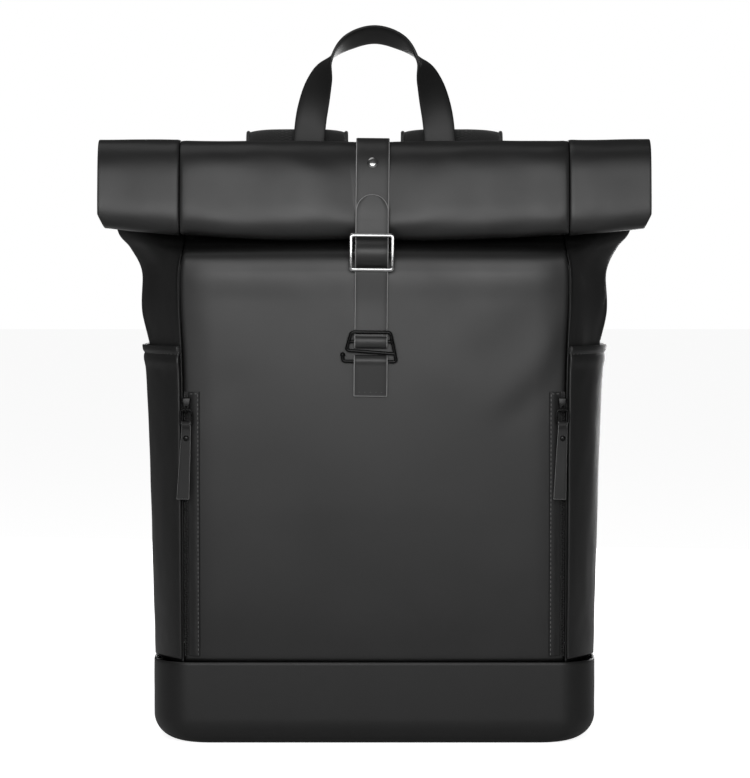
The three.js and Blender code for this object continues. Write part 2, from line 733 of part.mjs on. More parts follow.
function gateHook() {
  const outline = wire([
    onHook(HOOK_TIP_LEFT, HOOK_DROP - HOOK_TIP_RISE),
    onHook(HOOK_TIP_LEFT, HOOK_DROP),
    onHook(HOOK_CORNER_RIGHT, HOOK_DROP),
    onHook(HOOK_HALF_TOP, 0),
    onHook(-HOOK_HALF_TOP, 0),
    onHook(HOOK_LEFT, HOOK_GATE_LEFT_DROP),
    onHook(HOOK_RIGHT, HOOK_GATE_RIGHT_DROP),
  ], BAR_RADIUS, HOOK_BEND, 32);
  const ends = -HOOK_LEFT + HOOK_HALF_TOP;
  const middle = crossBar(ends * 0.97, BAR_RADIUS * 0.98, hookMiddle.x, hookMiddle.y);
  const posts = [-1, 1].map((side) => {
    const x = side < 0 ? lerp(-HOOK_HALF_TOP, HOOK_LEFT, 0.5) : lerp(HOOK_HALF_TOP, HOOK_RIGHT, 0.34);
    const post = new THREE.BoxGeometry(HOOK_POST, hookMiddle.x - hookTop.x + 1.2 * BAR_RADIUS, HOOK_POST);
    return post.translate(x, (hookMiddle.x + hookTop.x) / 2, hookMiddle.y);
  });
  return joined(outline, middle, ...posts);
}

// A strap folded round a bar, with both ends hanging below it
function foldedBand(bar, radius, thickness, behind, front, foot, widthAt) {
  const route = [
    ...range(foot, bar.y - radius, 5).map((z) => new THREE.Vector2(behind, z)),
    ...aroundBar(bar, radius, 0, 180, 8),
    ...range(bar.y - radius, foot, 5)
      .map((z, i) => new THREE.Vector2(lerp(bar.x - radius, front, (i + 1) / 6), z)),
  ];
  return band(route, thickness, widthAt);
}

function anchorLoop() {
  const radius = BAR_RADIUS + GAP + STRAP_THICKNESS / 2;
  const behind = hookLow.x + radius;
  return foldedBand(hookLow, radius, STRAP_THICKNESS, behind, behind - LAYER, LOOP_FOOT, () => STRAP_WIDTH);
}

// Front zips: a flap of cloth over the zip, the chain of teeth beside it, and the slider at its head
function onFrontFace(x, z, outward) {
  const up = shareAtHeight(frontEdge, z);
  return frontPoint(x / frontEdge.getPoint(up).x, up, -outward);
}

function zipStrip(side, inner, outer) {
  return sheet(1, 9, (a, t, s) => {
    const height = lerp(ZIP_FOOT, ZIP_HEAD, s);
    const point = onFrontFace(lerp(inner, outer, a), height, GAP + PLACKET_THICKNESS * t);
    return mirrored(point, side);
  });
}

const PLACKET_OUTER = SEAM_HALF * FRONT_EDGE[0][1] - PLACKET_INSET;
const CHAIN_INNER = PLACKET_OUTER + GAP;
const SLIDER_X = CHAIN_INNER + CHAIN_WIDTH / 2 - 0.4;
const SLIDER_Z = ZIP_HEAD - 4 - SLIDER_HEIGHT / 2;
const sliderCorner = [SLIDER_X - SLIDER_WIDTH / 2, SLIDER_Z + SLIDER_HEIGHT / 2];
const sliderBack = onFrontFace(...sliderCorner, 2 * GAP + PLACKET_THICKNESS).y - 0.2;
const bailZ = SLIDER_Z - SLIDER_HEIGHT / 2 + 1.4;
const ringY = sliderBack - SLIDER_DEPTH - 0.9;
const ringZ = bailZ - RING_HALF_HEIGHT + 0.2;

function zipSlider(side) {
  const body = new THREE.BoxGeometry(SLIDER_WIDTH, SLIDER_DEPTH, SLIDER_HEIGHT);
  body.translate(SLIDER_X, sliderBack - SLIDER_DEPTH / 2, SLIDER_Z);
  const bail = new THREE.TorusGeometry(BAIL_RADIUS, BAIL_WIRE, 5, 10).rotateY(Math.PI / 2);
  bail.translate(SLIDER_X, sliderBack - SLIDER_DEPTH + 0.2, bailZ);
  return shaped(joined(body, bail), (x, y, z) => new THREE.Vector3(x * side, y, z));
}

// The ring is drawn flat on one radius, then squared so that its foot is nearly straight
function zipRing(side) {
  const radius = RING_HALF_WIDTH;
  const ring = new THREE.TorusGeometry(radius, RING_WIRE, 4, 16);
  return shaped(ring, (x, y, z) => {
    const angle = Math.atan2(y, x);
    const out = Math.hypot(x, y) - radius;
    const bend = 2 / RING_SQUARENESS;
    const across = (RING_HALF_WIDTH + out) * power(Math.cos(angle), bend);
    const up = (RING_HALF_HEIGHT + out) * power(Math.sin(angle), bend);
    return new THREE.Vector3(side * SLIDER_X + across, ringY + z, ringZ + up);
  });
}

const tabBar = new THREE.Vector2(ringY, ringZ - RING_HALF_HEIGHT);
const TAB_WRAP = RING_WIRE + 2.4 * GAP + TAB_THICKNESS / 2;
const tabRivetZ = tabBar.y - TAB_RIVET_DROP;

function tabRivetPlace(geometry, side) {
  return pointOutwards(welded(geometry.translate(side * SLIDER_X, tabBar.x, tabRivetZ)));
}

function pullTab(side) {
  const foot = tabBar.y - TAB_LENGTH;
  const layers = (TAB_THICKNESS + GAP) / 2;
  const route = [
    ...range(foot, tabBar.y - 3, 6).map((z) => new THREE.Vector2(tabBar.x + layers, z)),
    ...aroundBar(tabBar, TAB_WRAP, 0, 180, 8),
    ...range(tabBar.y - 3, foot, 6).map((z) => new THREE.Vector2(tabBar.x - layers, z)),
  ];
  const last = route.length - 1;
  const tab = band(route, TAB_THICKNESS, (s) =>
    TAB_WIDTH + TAB_FLARE * (1 - (route[Math.round(s * last)].y - foot) / TAB_LENGTH));
  tab.translate(side * SLIDER_X, 0, 0);
  const hole = new THREE.CylinderGeometry(TAB_RIVET_RADIUS / 2 + GAP, TAB_RIVET_RADIUS / 2 + GAP, 10, 12);
  return cutBy(tab, tabRivetPlace(hole, side));
}

function pullRivet(side) {
  const half = TAB_THICKNESS + GAP / 2 + GAP;
  const profile = [
    [0, -half - 0.7],
    [TAB_RIVET_RADIUS, -half - 0.5],
    [TAB_RIVET_RADIUS, -half],
    [TAB_RIVET_RADIUS / 2, -half],
    [TAB_RIVET_RADIUS / 2, half],
    [TAB_RIVET_RADIUS, half],
    [TAB_RIVET_RADIUS, half + 0.5],
    [0, half + 0.8],
  ].map(([radius, height]) => new THREE.Vector2(radius, height));
  return tabRivetPlace(new THREE.LatheGeometry(profile, 10), side);
}

// Back hardware, from the panel outwards: handle legs, shoulder straps, yoke
const BACK_FACE = BACK_PROUD + Math.max(...range(0, BACK_TOP_ROW / LAST_ROW, 60)
  .map((up) => backEdge.getPoint(up).y));
const HANDLE_LEG_Y = BACK_FACE + GAP + HANDLE_THICKNESS / 2;
const SHOULDER_INNER_Y = BACK_FACE + HANDLE_THICKNESS + 2 * GAP;
const YOKE_RAISE = HANDLE_THICKNESS + SHOULDER_THICKNESS + 2 * GAP;

// The handle's middle line: half its spread, and its height under the top, as shares
const HANDLE_ROUTE = [
  // out, up, turn
  [1.02, 0.0, 0],
  [1.02, 0.3, 0],
  [0.995, 0.52, 0],
  [0.94, 0.655, 0.08],
  [0.84, 0.78, 0.3],
  [0.68, 0.895, 0.66],
  [0.38, 0.972, 0.93],
  [0.0, 1.0, 1],
];

function handle() {
  const rise = HANDLE_TOP - HANDLE_THICKNESS / 2 - HANDLE_FOOT;
  const half = HANDLE_ROUTE.map(([out, up, turn]) => ({
    place: new THREE.Vector3(-out * HANDLE_SPREAD / 2, HANDLE_LEG_Y - 5 * turn, HANDLE_FOOT + up * rise),
    turn,
  }));
  const other = half.slice(0, -1).reverse()
    .map(({ place, turn }) => ({ place: mirrored(place, -1), turn }));
  const all = [...half, ...other];
  const route = new THREE.CatmullRomCurve3(all.map((row) => row.place), false, "centripetal");
  const turning = new THREE.CatmullRomCurve3(all.map((row) => new THREE.Vector3(row.turn, 0, 0)));
  return sheet(2, HANDLE_STEPS, (a, t, s) => {
    const here = route.getPoint(s);
    const along = route.getTangent(s);
    const angle = THREE.MathUtils.clamp(turning.getPoint(s).x, 0, 1) * Math.PI / 2;
    const side = s < 0.5 ? 1 : -1;
    const tilt = radians(HANDLE_TILT) * Math.sin(angle);
    const across = new THREE.Vector3(
      side * Math.cos(angle),
      -Math.sin(angle) * Math.cos(tilt),
      Math.sin(angle) * Math.sin(tilt),
    );
    across.addScaledVector(along, -across.dot(along)).normalize();
    const out = new THREE.Vector3().crossVectors(across, along).normalize();
    return here
      .addScaledVector(across, (a - 0.5) * HANDLE_WIDTH)
      .addScaledVector(out, (t - 0.5) * HANDLE_THICKNESS);
  });
}

// Shoulder straps: sewn under the yoke, they arch over the top and run down the back
const SHOULDER_ROUTE = [
  // reach, height, both as shares of the strap's reach and of its rise above its foot
  [0.0, 0.7],
  [0.0, 0.78],
  [0.0, 0.87],
  [0.06, 0.945],
  [0.32, 1.0],
  [0.68, 0.965],
  [0.88, 0.86],
  [0.98, 0.68],
  [0.94, 0.48],
  [0.76, 0.26],
  [0.45, 0.08],
  [0.24, 0.0],
];

const shoulderLine = new THREE.CatmullRomCurve3(SHOULDER_ROUTE.map(([reach, height]) =>
  new THREE.Vector3(
    0,
    SHOULDER_INNER_Y + SHOULDER_THICKNESS / 2 + reach * SHOULDER_REACH,
    lerp(SHOULDER_FOOT, SHOULDER_TOP - SHOULDER_THICKNESS / 2, height),
  )), false, "centripetal");

function shoulderStrap(side) {
  return sheet(...SHOULDER_STEPS, (a, t, s) => {
    const here = shoulderLine.getPoint(s);
    const along = shoulderLine.getTangent(s);
    const across = 2 * a - 1;
    const width = lerp(SHOULDER_WIDTH, SHOULDER_TIP_WIDTH, Math.max(0, (s - 0.45) / 0.55));
    const soft = SHOULDER_THICKNESS * (1 - 0.55 * across ** 6) * (t - 0.5);
    const round = s > 0.97 ? 0.86 : 1;
    const middle = lerp(SHOULDER_PLACE, WEBBING_PLACE, THREE.MathUtils.smoothstep(s, 0.5, 0.97));
    return new THREE.Vector3(
      side * (middle + across * width * round / 2),
      here.y + along.z * soft,
      here.z - along.y * soft,
    );
  });
}

function strapYoke() {
  const half = SHOULDER_PLACE + SHOULDER_WIDTH / 2 + 12;
  return sheet(22, 3, (a, t, s) => {
    const x = lerp(-half, half, a);
    const away = Math.abs(Math.abs(x) - SHOULDER_PLACE) - SHOULDER_WIDTH / 2;
    const raised = THREE.MathUtils.smoothstep(-away, -11, -1.5);
    const y = BACK_FACE + GAP + raised * YOKE_RAISE + YOKE_THICKNESS * t;
    return new THREE.Vector3(x, y + 0.1, lerp(YOKE_FOOT, YOKE_HEAD, s));
  });
}

// The webbing runs from its anchor on the boot up to the adjuster, round its bar, and hangs down again
const shoulderEnd = shoulderLine.getPoint(1);
const adjusterY = shoulderEnd.y;
const LOOP_WRAP = Math.hypot(ADJUSTER_BAR, ADJUSTER_DEPTH) / 2 + GAP + WEBBING_THICKNESS / 2;
const adjusterTop = new THREE.Vector2(
  adjusterY,
  SHOULDER_FOOT - GAP - LOOP_WRAP - WEBBING_THICKNESS - STRAP_LOOP_DROP,
);
const adjusterBar = new THREE.Vector2(adjusterY, adjusterTop.y + ADJUSTER_BAR / 2 - ADJUSTER_HEIGHT / 2);
const webbingWrap = ADJUSTER_DEPTH / 2 + GAP + WEBBING_THICKNESS / 2 + 0.1;

const atWebbing = (geometry, side) =>
  shaped(geometry, (x, y, z) => new THREE.Vector3(side * (WEBBING_PLACE + x), y, z));

function strapLoop(side) {
  const head = SHOULDER_FOOT - 2 * GAP - 1;
  const route = [
    ...range(head, adjusterTop.y, 2).map((z) => new THREE.Vector2(adjusterY + LOOP_WRAP, z)),
    ...aroundBar(adjusterTop, LOOP_WRAP, -20, -160, 6),
    ...range(adjusterTop.y, head, 2).map((z) => new THREE.Vector2(adjusterY - LOOP_WRAP, z)),
  ];
  return atWebbing(band(route, WEBBING_THICKNESS, () => WEBBING_WIDTH), side);
}

function strapWebbing(side) {
  const overAnchor = BACK_FACE + 2 * GAP + ANCHOR_THICKNESS + WEBBING_THICKNESS / 2;
  const aboveAnchor = BACK_FACE + ANCHOR_THICKNESS + 2;
  const underAdjuster = adjusterY - webbingWrap - GAP;
  const route = [
    new THREE.Vector2(overAnchor, WEBBING_FOOT),
    new THREE.Vector2(overAnchor, ANCHOR_HEAD),
    ...range(ANCHOR_HEAD + 12, adjusterBar.y - ADJUSTER_HEIGHT / 2 - 3, 3)
      .map((z, i) => new THREE.Vector2(lerp(aboveAnchor, underAdjuster, (i + 1) / 4), z)),
    new THREE.Vector2(adjusterY - webbingWrap, adjusterBar.y - ADJUSTER_HEIGHT / 2 + 1),
    ...aroundBar(adjusterBar, webbingWrap, 180, 0, 8),
    new THREE.Vector2(adjusterY + webbingWrap, adjusterBar.y - ADJUSTER_HEIGHT / 2),
    new THREE.Vector2(adjusterY + webbingWrap + 1, adjusterBar.y - WEBBING_TAIL),
  ];
  return atWebbing(band(route, WEBBING_THICKNESS, () => WEBBING_WIDTH), side);
}

function strapAdjuster(side) {
  const size = [ADJUSTER_WIDTH, ADJUSTER_HEIGHT, ADJUSTER_BAR, ADJUSTER_DEPTH];
  const place = [adjusterY, adjusterBar.y];
  const frame = standingFrame(...size, ...place);
  const middle = crossBar(ADJUSTER_WIDTH - ADJUSTER_BAR, ADJUSTER_DEPTH / 2 - 0.02, ...place);
  return atWebbing(joined(frame, middle), side);
}

// The anchor is a patch sewn across the seam of the boot, under the foot of the webbing
function webbingAnchor(side) {
  const patch = new THREE.BoxGeometry(WEBBING_WIDTH + 9, ANCHOR_THICKNESS, ANCHOR_HEAD - WEBBING_FOOT + 4);
  patch.translate(0, BACK_FACE + GAP + ANCHOR_THICKNESS / 2, (ANCHOR_HEAD + WEBBING_FOOT) / 2 - 4);
  return atWebbing(patch, side);
}

// The bag put together
const bag = new THREE.Group();
bag.add(
  named("front_panel", frontPanel(), coatedCloth()),
  named("back_panel", backPanel(), paddedCloth()),
  named("top_fabric", topFabric(), coatedCloth()),
  named("base_boot", baseBoot(), bootCloth()),
  named("roll_centre", rollSheet(3, -ROLL_SEAM + GAP / 2, ROLL_SEAM - GAP / 2, 0, 0), coatedCloth()),
  named("handle", handle(), strapCloth()),
  named("strap_yoke", strapYoke(), coatedCloth()),
);

const closure = new THREE.Group();
closure.position.set(CLOSURE_X, 0, BAG_HEIGHT);
closure.rotation.y = radians(CLOSURE_LEAN);
const hung = new THREE.Group();
hung.position.z = -BAG_HEIGHT;
hung.add(
  named("closure_strap_upper", closureStrapUpper(), strapCloth()),
  named("closure_strap_lower", closureStrapLower(), strapCloth()),
  named("strap_rivet", strapRivet(), silver()),
  named("buckle_frame", buckleFrame(), silver()),
  named("gate_hook", gateHook(), gunmetal()),
  named("anchor_loop", anchorLoop(), strapCloth()),
);
closure.add(hung);
bag.add(closure);

for (const [hand, side] of [["left", -1], ["right", 1]]) {
  bag.add(
    named(`side_panel_${hand}`, sidePanel(side), coatedCloth()),
    named(`side_pocket_${hand}`, sidePocket(side), coatedCloth()),
    named(`roll_end_${hand}`,
      rollSheet(2, side * (ROLL_SEAM + GAP / 2), side * ROLL_WIDTH / 2, ROLL_END_PROUD, ROLL_CORNER_CUT),
      coatedCloth()),
    named(`zip_placket_${hand}`,
      zipStrip(side, PLACKET_OUTER - PLACKET_WIDTH, PLACKET_OUTER),
      coatedCloth()),
    named(`zip_chain_${hand}`, zipStrip(side, CHAIN_INNER, CHAIN_INNER + CHAIN_WIDTH), webbingCloth()),
    named(`zip_slider_${hand}`, zipSlider(side), gunmetal()),
    named(`zip_ring_${hand}`, zipRing(side), gunmetal()),
    named(`pull_tab_${hand}`, pullTab(side), strapCloth()),
    named(`pull_rivet_${hand}`, pullRivet(side), gunmetal()),
    named(`shoulder_strap_${hand}`, shoulderStrap(side), paddedCloth()),
    named(`strap_loop_${hand}`, strapLoop(side), webbingCloth()),
    named(`strap_webbing_${hand}`, strapWebbing(side), webbingCloth()),
    named(`strap_adjuster_${hand}`, strapAdjuster(side), blackPlastic()),
    named(`webbing_anchor_${hand}`, webbingAnchor(side), strapCloth()),
  );
}

export default bag;
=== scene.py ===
"""The looks of a black roll-top backpack of matte coated cloth, standing closed on its base.

Sizes are written in millimetres and turned to metres where a mesh is made.
The bag faces -Y and stands on the plane Z = 0.
"""
import math

import bmesh
import bpy
from mathutils import Matrix, Vector, noise


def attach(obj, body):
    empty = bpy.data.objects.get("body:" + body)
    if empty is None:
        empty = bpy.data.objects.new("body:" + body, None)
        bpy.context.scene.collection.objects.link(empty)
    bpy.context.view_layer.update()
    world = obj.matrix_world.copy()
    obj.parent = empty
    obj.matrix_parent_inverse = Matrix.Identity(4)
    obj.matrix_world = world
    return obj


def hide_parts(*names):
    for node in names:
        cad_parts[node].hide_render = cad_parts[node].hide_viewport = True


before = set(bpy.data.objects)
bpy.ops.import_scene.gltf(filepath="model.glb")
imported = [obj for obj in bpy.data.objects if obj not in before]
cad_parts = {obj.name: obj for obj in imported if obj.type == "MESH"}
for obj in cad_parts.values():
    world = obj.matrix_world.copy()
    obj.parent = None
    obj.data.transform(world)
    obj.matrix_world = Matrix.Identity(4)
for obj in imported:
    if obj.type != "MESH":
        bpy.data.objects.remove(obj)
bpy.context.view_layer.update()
MM = 0.001
HANDS = (("left", -1), ("right", 1))

# The bag as a whole
BASE_WIDTH = 314
BASE_DEPTH = 121
BOOT_HEIGHT = 58
BAG_HEIGHT = 424.3
FRONT_PANEL_WIDTH = 270
FRONT_CROWN = 3.2
EDGE_FALL = 1.9
EDGE_WIDTH = 24
FABRIC = 1.8
GAP = 0.3

# The boot at the foot
BOOT_WALL = 2.4
BOOT_CORNER_SIDE = 19
BOOT_CORNER_FRONT = 9
BOOT_CORNER_HEIGHT = 18

# The rolled mouth
ROLL_WIDTH = 387
ROLL_HEIGHT = 71.3
ROLL_DEPTH = 56
ROLL_SHEET = 4
ROLL_PITCH = 7.5
ROLL_SQUARENESS = 4
ROLL_START = 40
ROLL_FINISH = 700
ROLL_LEAN = 8
ROLL_END_LIFT = 10
ROLL_END_PROUD = 0.7
ROLL_CORNER_CUT = 4
ROLL_CORNER_RISE = 9
NECK_SETBACK = 10

# The padded back
BACK_PADDING = 6
BACK_PROUD = 3.5
BACK_PRESSURE = 4
BACK_SWELL = 1.6

# Side pockets
POCKET_FULLNESS = 5.2
HEM_HEIGHT = 8
HEM_EXTRA = 1

# The closure: strap, buckle, gate hook and anchor loop
STRAP_WIDTH = 23.5
STRAP_THICKNESS = 1.5
TONGUE_WIDTH = 22
# the radius of the thin wire that paints the highlight along the tongue's edges
EDGE_HIGHLIGHT_RADIUS = 0.5
TONGUE_TIP = 12
TONGUE_DROP = 38.8
STRAP_LEAVES = 196
CLOSURE_X = -1
CLOSURE_LEAN = 0.6
BAR_RADIUS = 1.2
BUCKLE_WIDTH = 32
BUCKLE_HEIGHT = 27
BUCKLE_BAR = 3
BUCKLE_DEPTH = 2.4
BUCKLE_BOW = 0.6
BUCKLE_FORWARD = 0.35
BUCKLE_DROP = 92.3
HOOK_TOP_DROP = 134.3
HOOK_DROP = 20.5
HOOK_MIDDLE_DROP = 6.6
HOOK_HALF_TOP = 13.6
HOOK_LEFT = -17.2
HOOK_RIGHT = 16.6
HOOK_GATE_LEFT_DROP = 12.8
HOOK_GATE_RIGHT_DROP = 15
HOOK_TIP_RISE = 4.6
HOOK_TIP_LEFT = -19.6
LOOP_LENGTH = 45
RIVET_DROP = 16.3
RIVET_RADIUS = 3.9
RIVET_DOME = 1.2

# Front zips
ZIP_FOOT = 62
ZIP_HEAD = 248
PLACKET_INSET = 3.6
PLACKET_WIDTH = 8
PLACKET_THICKNESS = 1.4
CHAIN_WIDTH = 2.6
SLIDER_WIDTH = 6.4
SLIDER_HEIGHT = 10
SLIDER_DEPTH = 2.6
RING_HALF_WIDTH = 4.2
RING_HALF_HEIGHT = 5.2
RING_SQUARENESS = 4
RING_WIRE = 0.7
TAB_LENGTH = 52
TAB_WIDTH = 5.8
TAB_FLARE = 2.8
TAB_THICKNESS = 1.1
TAB_RIVET_DROP = 9.5
TAB_RIVET_RADIUS = 2
TAB_SWING = -2.2

# Handle
HANDLE_RISE = 81.7
HANDLE_SPREAD = 96
HANDLE_WIDTH = 23
HANDLE_THICKNESS = 3
HANDLE_FOOT_DROP = 52.3
HANDLE_TILT = 30

# Shoulder straps and what carries them
SHOULDER_WIDTH = 73
SHOULDER_TIP_WIDTH = 46
SHOULDER_THICKNESS = 7
SHOULDER_PLACE = 57
SHOULDER_RISE = 12.7
SHOULDER_FOOT = 165
SHOULDER_REACH = 40
SHOULDER_PRESSURE = 4
SHOULDER_SWELL = 1.4
YOKE_DROP = 36.3
YOKE_HEIGHT = 43
YOKE_THICKNESS = 2
WEBBING_WIDTH = 25
WEBBING_THICKNESS = 1.5
WEBBING_TAIL = 60
WEBBING_PLACE = 112
WEBBING_FOOT = 32
STRAP_LOOP_DROP = 5
ANCHOR_HEAD = 56
ANCHOR_THICKNESS = 2
ADJUSTER_WIDTH = 33
ADJUSTER_HEIGHT = 24
ADJUSTER_BAR = 2.6
ADJUSTER_DEPTH = 2.2

# The camera stands at half the bag's height, square to its front
CAMERA_DISTANCE = 2.4
CAMERA_HEIGHT = 0.35
AIM_HEIGHT = 0.25
AIM_SIDE = 0.0004
LENS = 158.8

HALF_WIDTH = BASE_WIDTH / 2
HALF_DEPTH = BASE_DEPTH / 2
SEAM_HALF = FRONT_PANEL_WIDTH / 2
ROLL_FOOT = BAG_HEIGHT - ROLL_HEIGHT
RIVET_HEIGHT = BAG_HEIGHT - RIVET_DROP
TONGUE_TOP = BAG_HEIGHT - TONGUE_DROP
BUCKLE_FOOT = BAG_HEIGHT - BUCKLE_DROP
HOOK_TOP = BAG_HEIGHT - HOOK_TOP_DROP
LOOP_FOOT = HOOK_TOP - LOOP_LENGTH
HANDLE_TOP = BAG_HEIGHT + HANDLE_RISE
HANDLE_FOOT = BAG_HEIGHT - HANDLE_FOOT_DROP
SHOULDER_TOP = BAG_HEIGHT + SHOULDER_RISE
YOKE_HEAD = BAG_HEIGHT - YOKE_DROP
YOKE_FOOT = YOKE_HEAD - YOKE_HEIGHT
NECK_Y = -NECK_SETBACK
NECK_HALF = FABRIC + 0.4
LAYER = STRAP_THICKNESS + GAP


# Small helpers of calculation

def lerp(start, end, share):
    return start + (end - start) * share


def clamp(value, low=0.0, high=1.0):
    return min(max(value, low), high)


def smooth(value, low, high):
    """0 at low, 1 at high, and level at both ends."""
    share = clamp((value - low) / (high - low))
    return share * share * (3 - 2 * share)


def power(value, exponent):
    return math.copysign(abs(value) ** exponent, value)


def steps(start, end, count):
    return [lerp(start, end, i / count) for i in range(count + 1)]


def hump(value, middle, width):
    """A soft bump of height 1."""
    return math.exp(-((value - middle) / width) ** 2)


def ripple(x, y, seed):
    """Soft noise from -1 to 1."""
    return noise.noise(Vector((x, y, seed)))


class Line:
    """A smooth curve through points. A share counts by point, from 0 at the first to 1 at the last."""

    def __init__(self, points, by_distance=False):
        self.points = [Vector(point) for point in points]
        self.by_distance = by_distance

    def at(self, share):
        points = self.points
        last = len(points) - 1
        place = clamp(share) * last
        i = min(int(place), last - 1)
        weight = place - i
        start, end = points[i], points[i + 1]
        before = points[i - 1] if i > 0 else 2 * points[0] - points[1]
        after = points[i + 2] if i + 2 <= last else 2 * points[last] - points[last - 1]
        if self.by_distance:
            first = max((start - before).length, 1e-4) ** 0.5
            middle = max((end - start).length, 1e-4) ** 0.5
            third = max((after - end).length, 1e-4) ** 0.5
            leaving = ((start - before) / first - (end - before) / (first + middle)) * middle + (end - start)
            arriving = (end - start) - ((after - start) / (middle + third) - (after - end) / third) * middle
        else:
            leaving = (end - before) / 2
            arriving = (after - start) / 2
        square, cube = weight ** 2, weight ** 3
        return (
            start * (2 * cube - 3 * square + 1)
            + leaving * (cube - 2 * square + weight)
            + end * (3 * square - 2 * cube)
            + arriving * (cube - square)
        )

    def heading(self, share):
        return (self.at(share + 1e-4) - self.at(share - 1e-4)).normalized()


# The rolled mouth: a flattened spiral, seen from the side.
# Angle 0 is the back of the roll, 90 its top, 180 its front and 270 its foot.

def roll_tightening(angle):
    return ROLL_PITCH * (angle - ROLL_START) / 360


ROLL_HALF_HEIGHT = (ROLL_HEIGHT + roll_tightening(90) + roll_tightening(270)) / 2
ROLL_MIDDLE_Z = BAG_HEIGHT - ROLL_HALF_HEIGHT + roll_tightening(90)


def roll_outline(angle, depth_in, lift):
    inset = roll_tightening(angle) + depth_in
    bend = 2 / ROLL_SQUARENESS
    turn = math.radians(angle)
    y = (ROLL_DEPTH / 2 - inset) * power(math.cos(turn), bend)
    z = (ROLL_HALF_HEIGHT - lift / 2 - inset) * power(math.sin(turn), bend) + lift / 2
    return y + z * math.tan(math.radians(ROLL_LEAN)), z


ROLL_MIDDLE_Y = NECK_Y - roll_outline(ROLL_START, ROLL_SHEET / 2, 0)[0]
NECK_HEIGHT = ROLL_MIDDLE_Z + roll_outline(ROLL_START, ROLL_SHEET, 0)[1] - GAP


def roll_point(angle, depth_in, x):
    lift = ROLL_END_LIFT * (2 * x / ROLL_WIDTH) ** 2
    y, z = roll_outline(angle, depth_in, lift)
    return Vector((x, ROLL_MIDDLE_Y + y, ROLL_MIDDLE_Z + z))


# The shell: three edges run up the bag, from the boot (level 0) past the foot of the roll
# (level 1) to the neck (level 2). Each row is one height.
# out is a share of the half front panel, tuck of the way back to the neck
FRONT_EDGE = (
    # level, out, tuck
    (0.0, 0.993, 0.052),
    (0.14, 0.993, 0.033),
    (0.38, 0.993, 0.021),
    (0.62, 0.995, 0.013),
    (0.75, 1.002, 0.013),
    (0.855, 1.015, 0.015),
    (0.93, 1.015, 0.022),
    (0.975, 1.0, 0.1),
    (0.992, 0.998, 0.44),
    (1.07, 1.0, 0.88),
    (1.4, 1.0, 0.97),
    (2.0, 1.01, 1.0),
)
# flare is the share of the way from the half base to the end of the roll, and slack what the cloth
# bulges beyond that, which the pocket doesn't follow; place is the share of the half depth at which
# the side is widest; the last two say how square its corners are
SIDE_FOLD = (
    # level, flare, slack, place, front corner, back corner
    (0.0, -0.089, 0.0, -0.3, 1.35, 3.0),
    (0.14, -0.089, 0.0, -0.3, 1.35, 3.0),
    (0.38, -0.071, 0.0, -0.28, 1.35, 3.0),
    (0.62, -0.035, 0.02, -0.24, 1.35, 3.0),
    (0.75, 0.025, 0.06, -0.2, 1.3, 3.0),
    (0.855, 0.19, 0.04, -0.16, 1.15, 2.6),
    (0.93, 0.25, 0.0, -0.12, 1.05, 2.2),
    (0.985, 0.37, 0.1, -0.08, 1.0, 1.9),
    (1.1, 0.48, 0.22, -0.1, 1.0, 1.6),
    (1.38, 0.65, 0.15, -0.13, 1.1, 1.4),
    (1.7, 0.83, 0.06, -0.16, 1.6, 1.6),
    (2.0, 1.0, 0.0, -0.165, 5.0, 5.0),
)
SIDE_REACH = (ROLL_WIDTH - BASE_WIDTH) / 2
# out is a share of the half base width, tuck of the way forward to the neck
BACK_EDGE = (
    # level, out, tuck
    (0.0, 0.952, 0.0),
    (0.14, 0.952, 0.0),
    (0.38, 0.952, 0.0),
    (0.62, 0.952, 0.0),
    (0.75, 0.952, 0.0),
    (0.855, 0.952, 0.0),
    (0.93, 0.952, 0.0),
    (1.0, 0.952, 0.0),
    (1.33, 0.952, 0.0),
    (1.63, 0.945, 0.03),
    (1.9, 0.92, 0.42),
    (2.0, 0.885, 1.0),
)
LAST_ROW = len(FRONT_EDGE) - 1
MOUTH_ROW = 4
BACK_TOP_ROW = 9
SHELL_START = BOOT_HEIGHT + GAP


def height_at(level):
    if level < 1:
        return lerp(SHELL_START, ROLL_FOOT, level)
    return lerp(ROLL_FOOT, NECK_HEIGHT, level - 1)


front_edge = Line([
    (SEAM_HALF * out, lerp(-HALF_DEPTH, NECK_Y - NECK_HALF, tuck), height_at(level))
    for level, out, tuck in FRONT_EDGE
])
side_fold = Line([
    (HALF_WIDTH + (flare + slack) * SIDE_REACH, HALF_DEPTH * place, height_at(level))
    for level, flare, slack, place, _front, _back in SIDE_FOLD
])
side_slack = Line([(slack * SIDE_REACH, 0, 0) for _level, _flare, slack, *_rest in SIDE_FOLD])
back_edge = Line([
    (HALF_WIDTH * out, lerp(HALF_DEPTH - BACK_PROUD, NECK_Y + NECK_HALF, tuck), height_at(level))
    for level, out, tuck in BACK_EDGE
])
corner_shape = Line([(row[4], row[5], 0) for row in SIDE_FOLD])


def inward_of(edge, up, towards):
    """The inward direction of the front or back cloth at a share of the way up."""
    along = edge.heading(up)
    return Vector((0, along.z, -along.y)).normalized() * towards


def front_point(across, up, inset):
    edge = front_edge.at(up)
    crown = FRONT_CROWN * (1 - across ** 2) * min(1, 2.2 * (1 - up)) * min(1, 0.3 + 4 * up)
    rounding = EDGE_FALL * max(0.0, 1 - edge.x * (1 - abs(across)) / EDGE_WIDTH) ** 2
    edge.x *= across
    return edge + inward_of(front_edge, up, 1) * (inset - crown + rounding * (1 - smooth(up, 0.5, 0.7)))


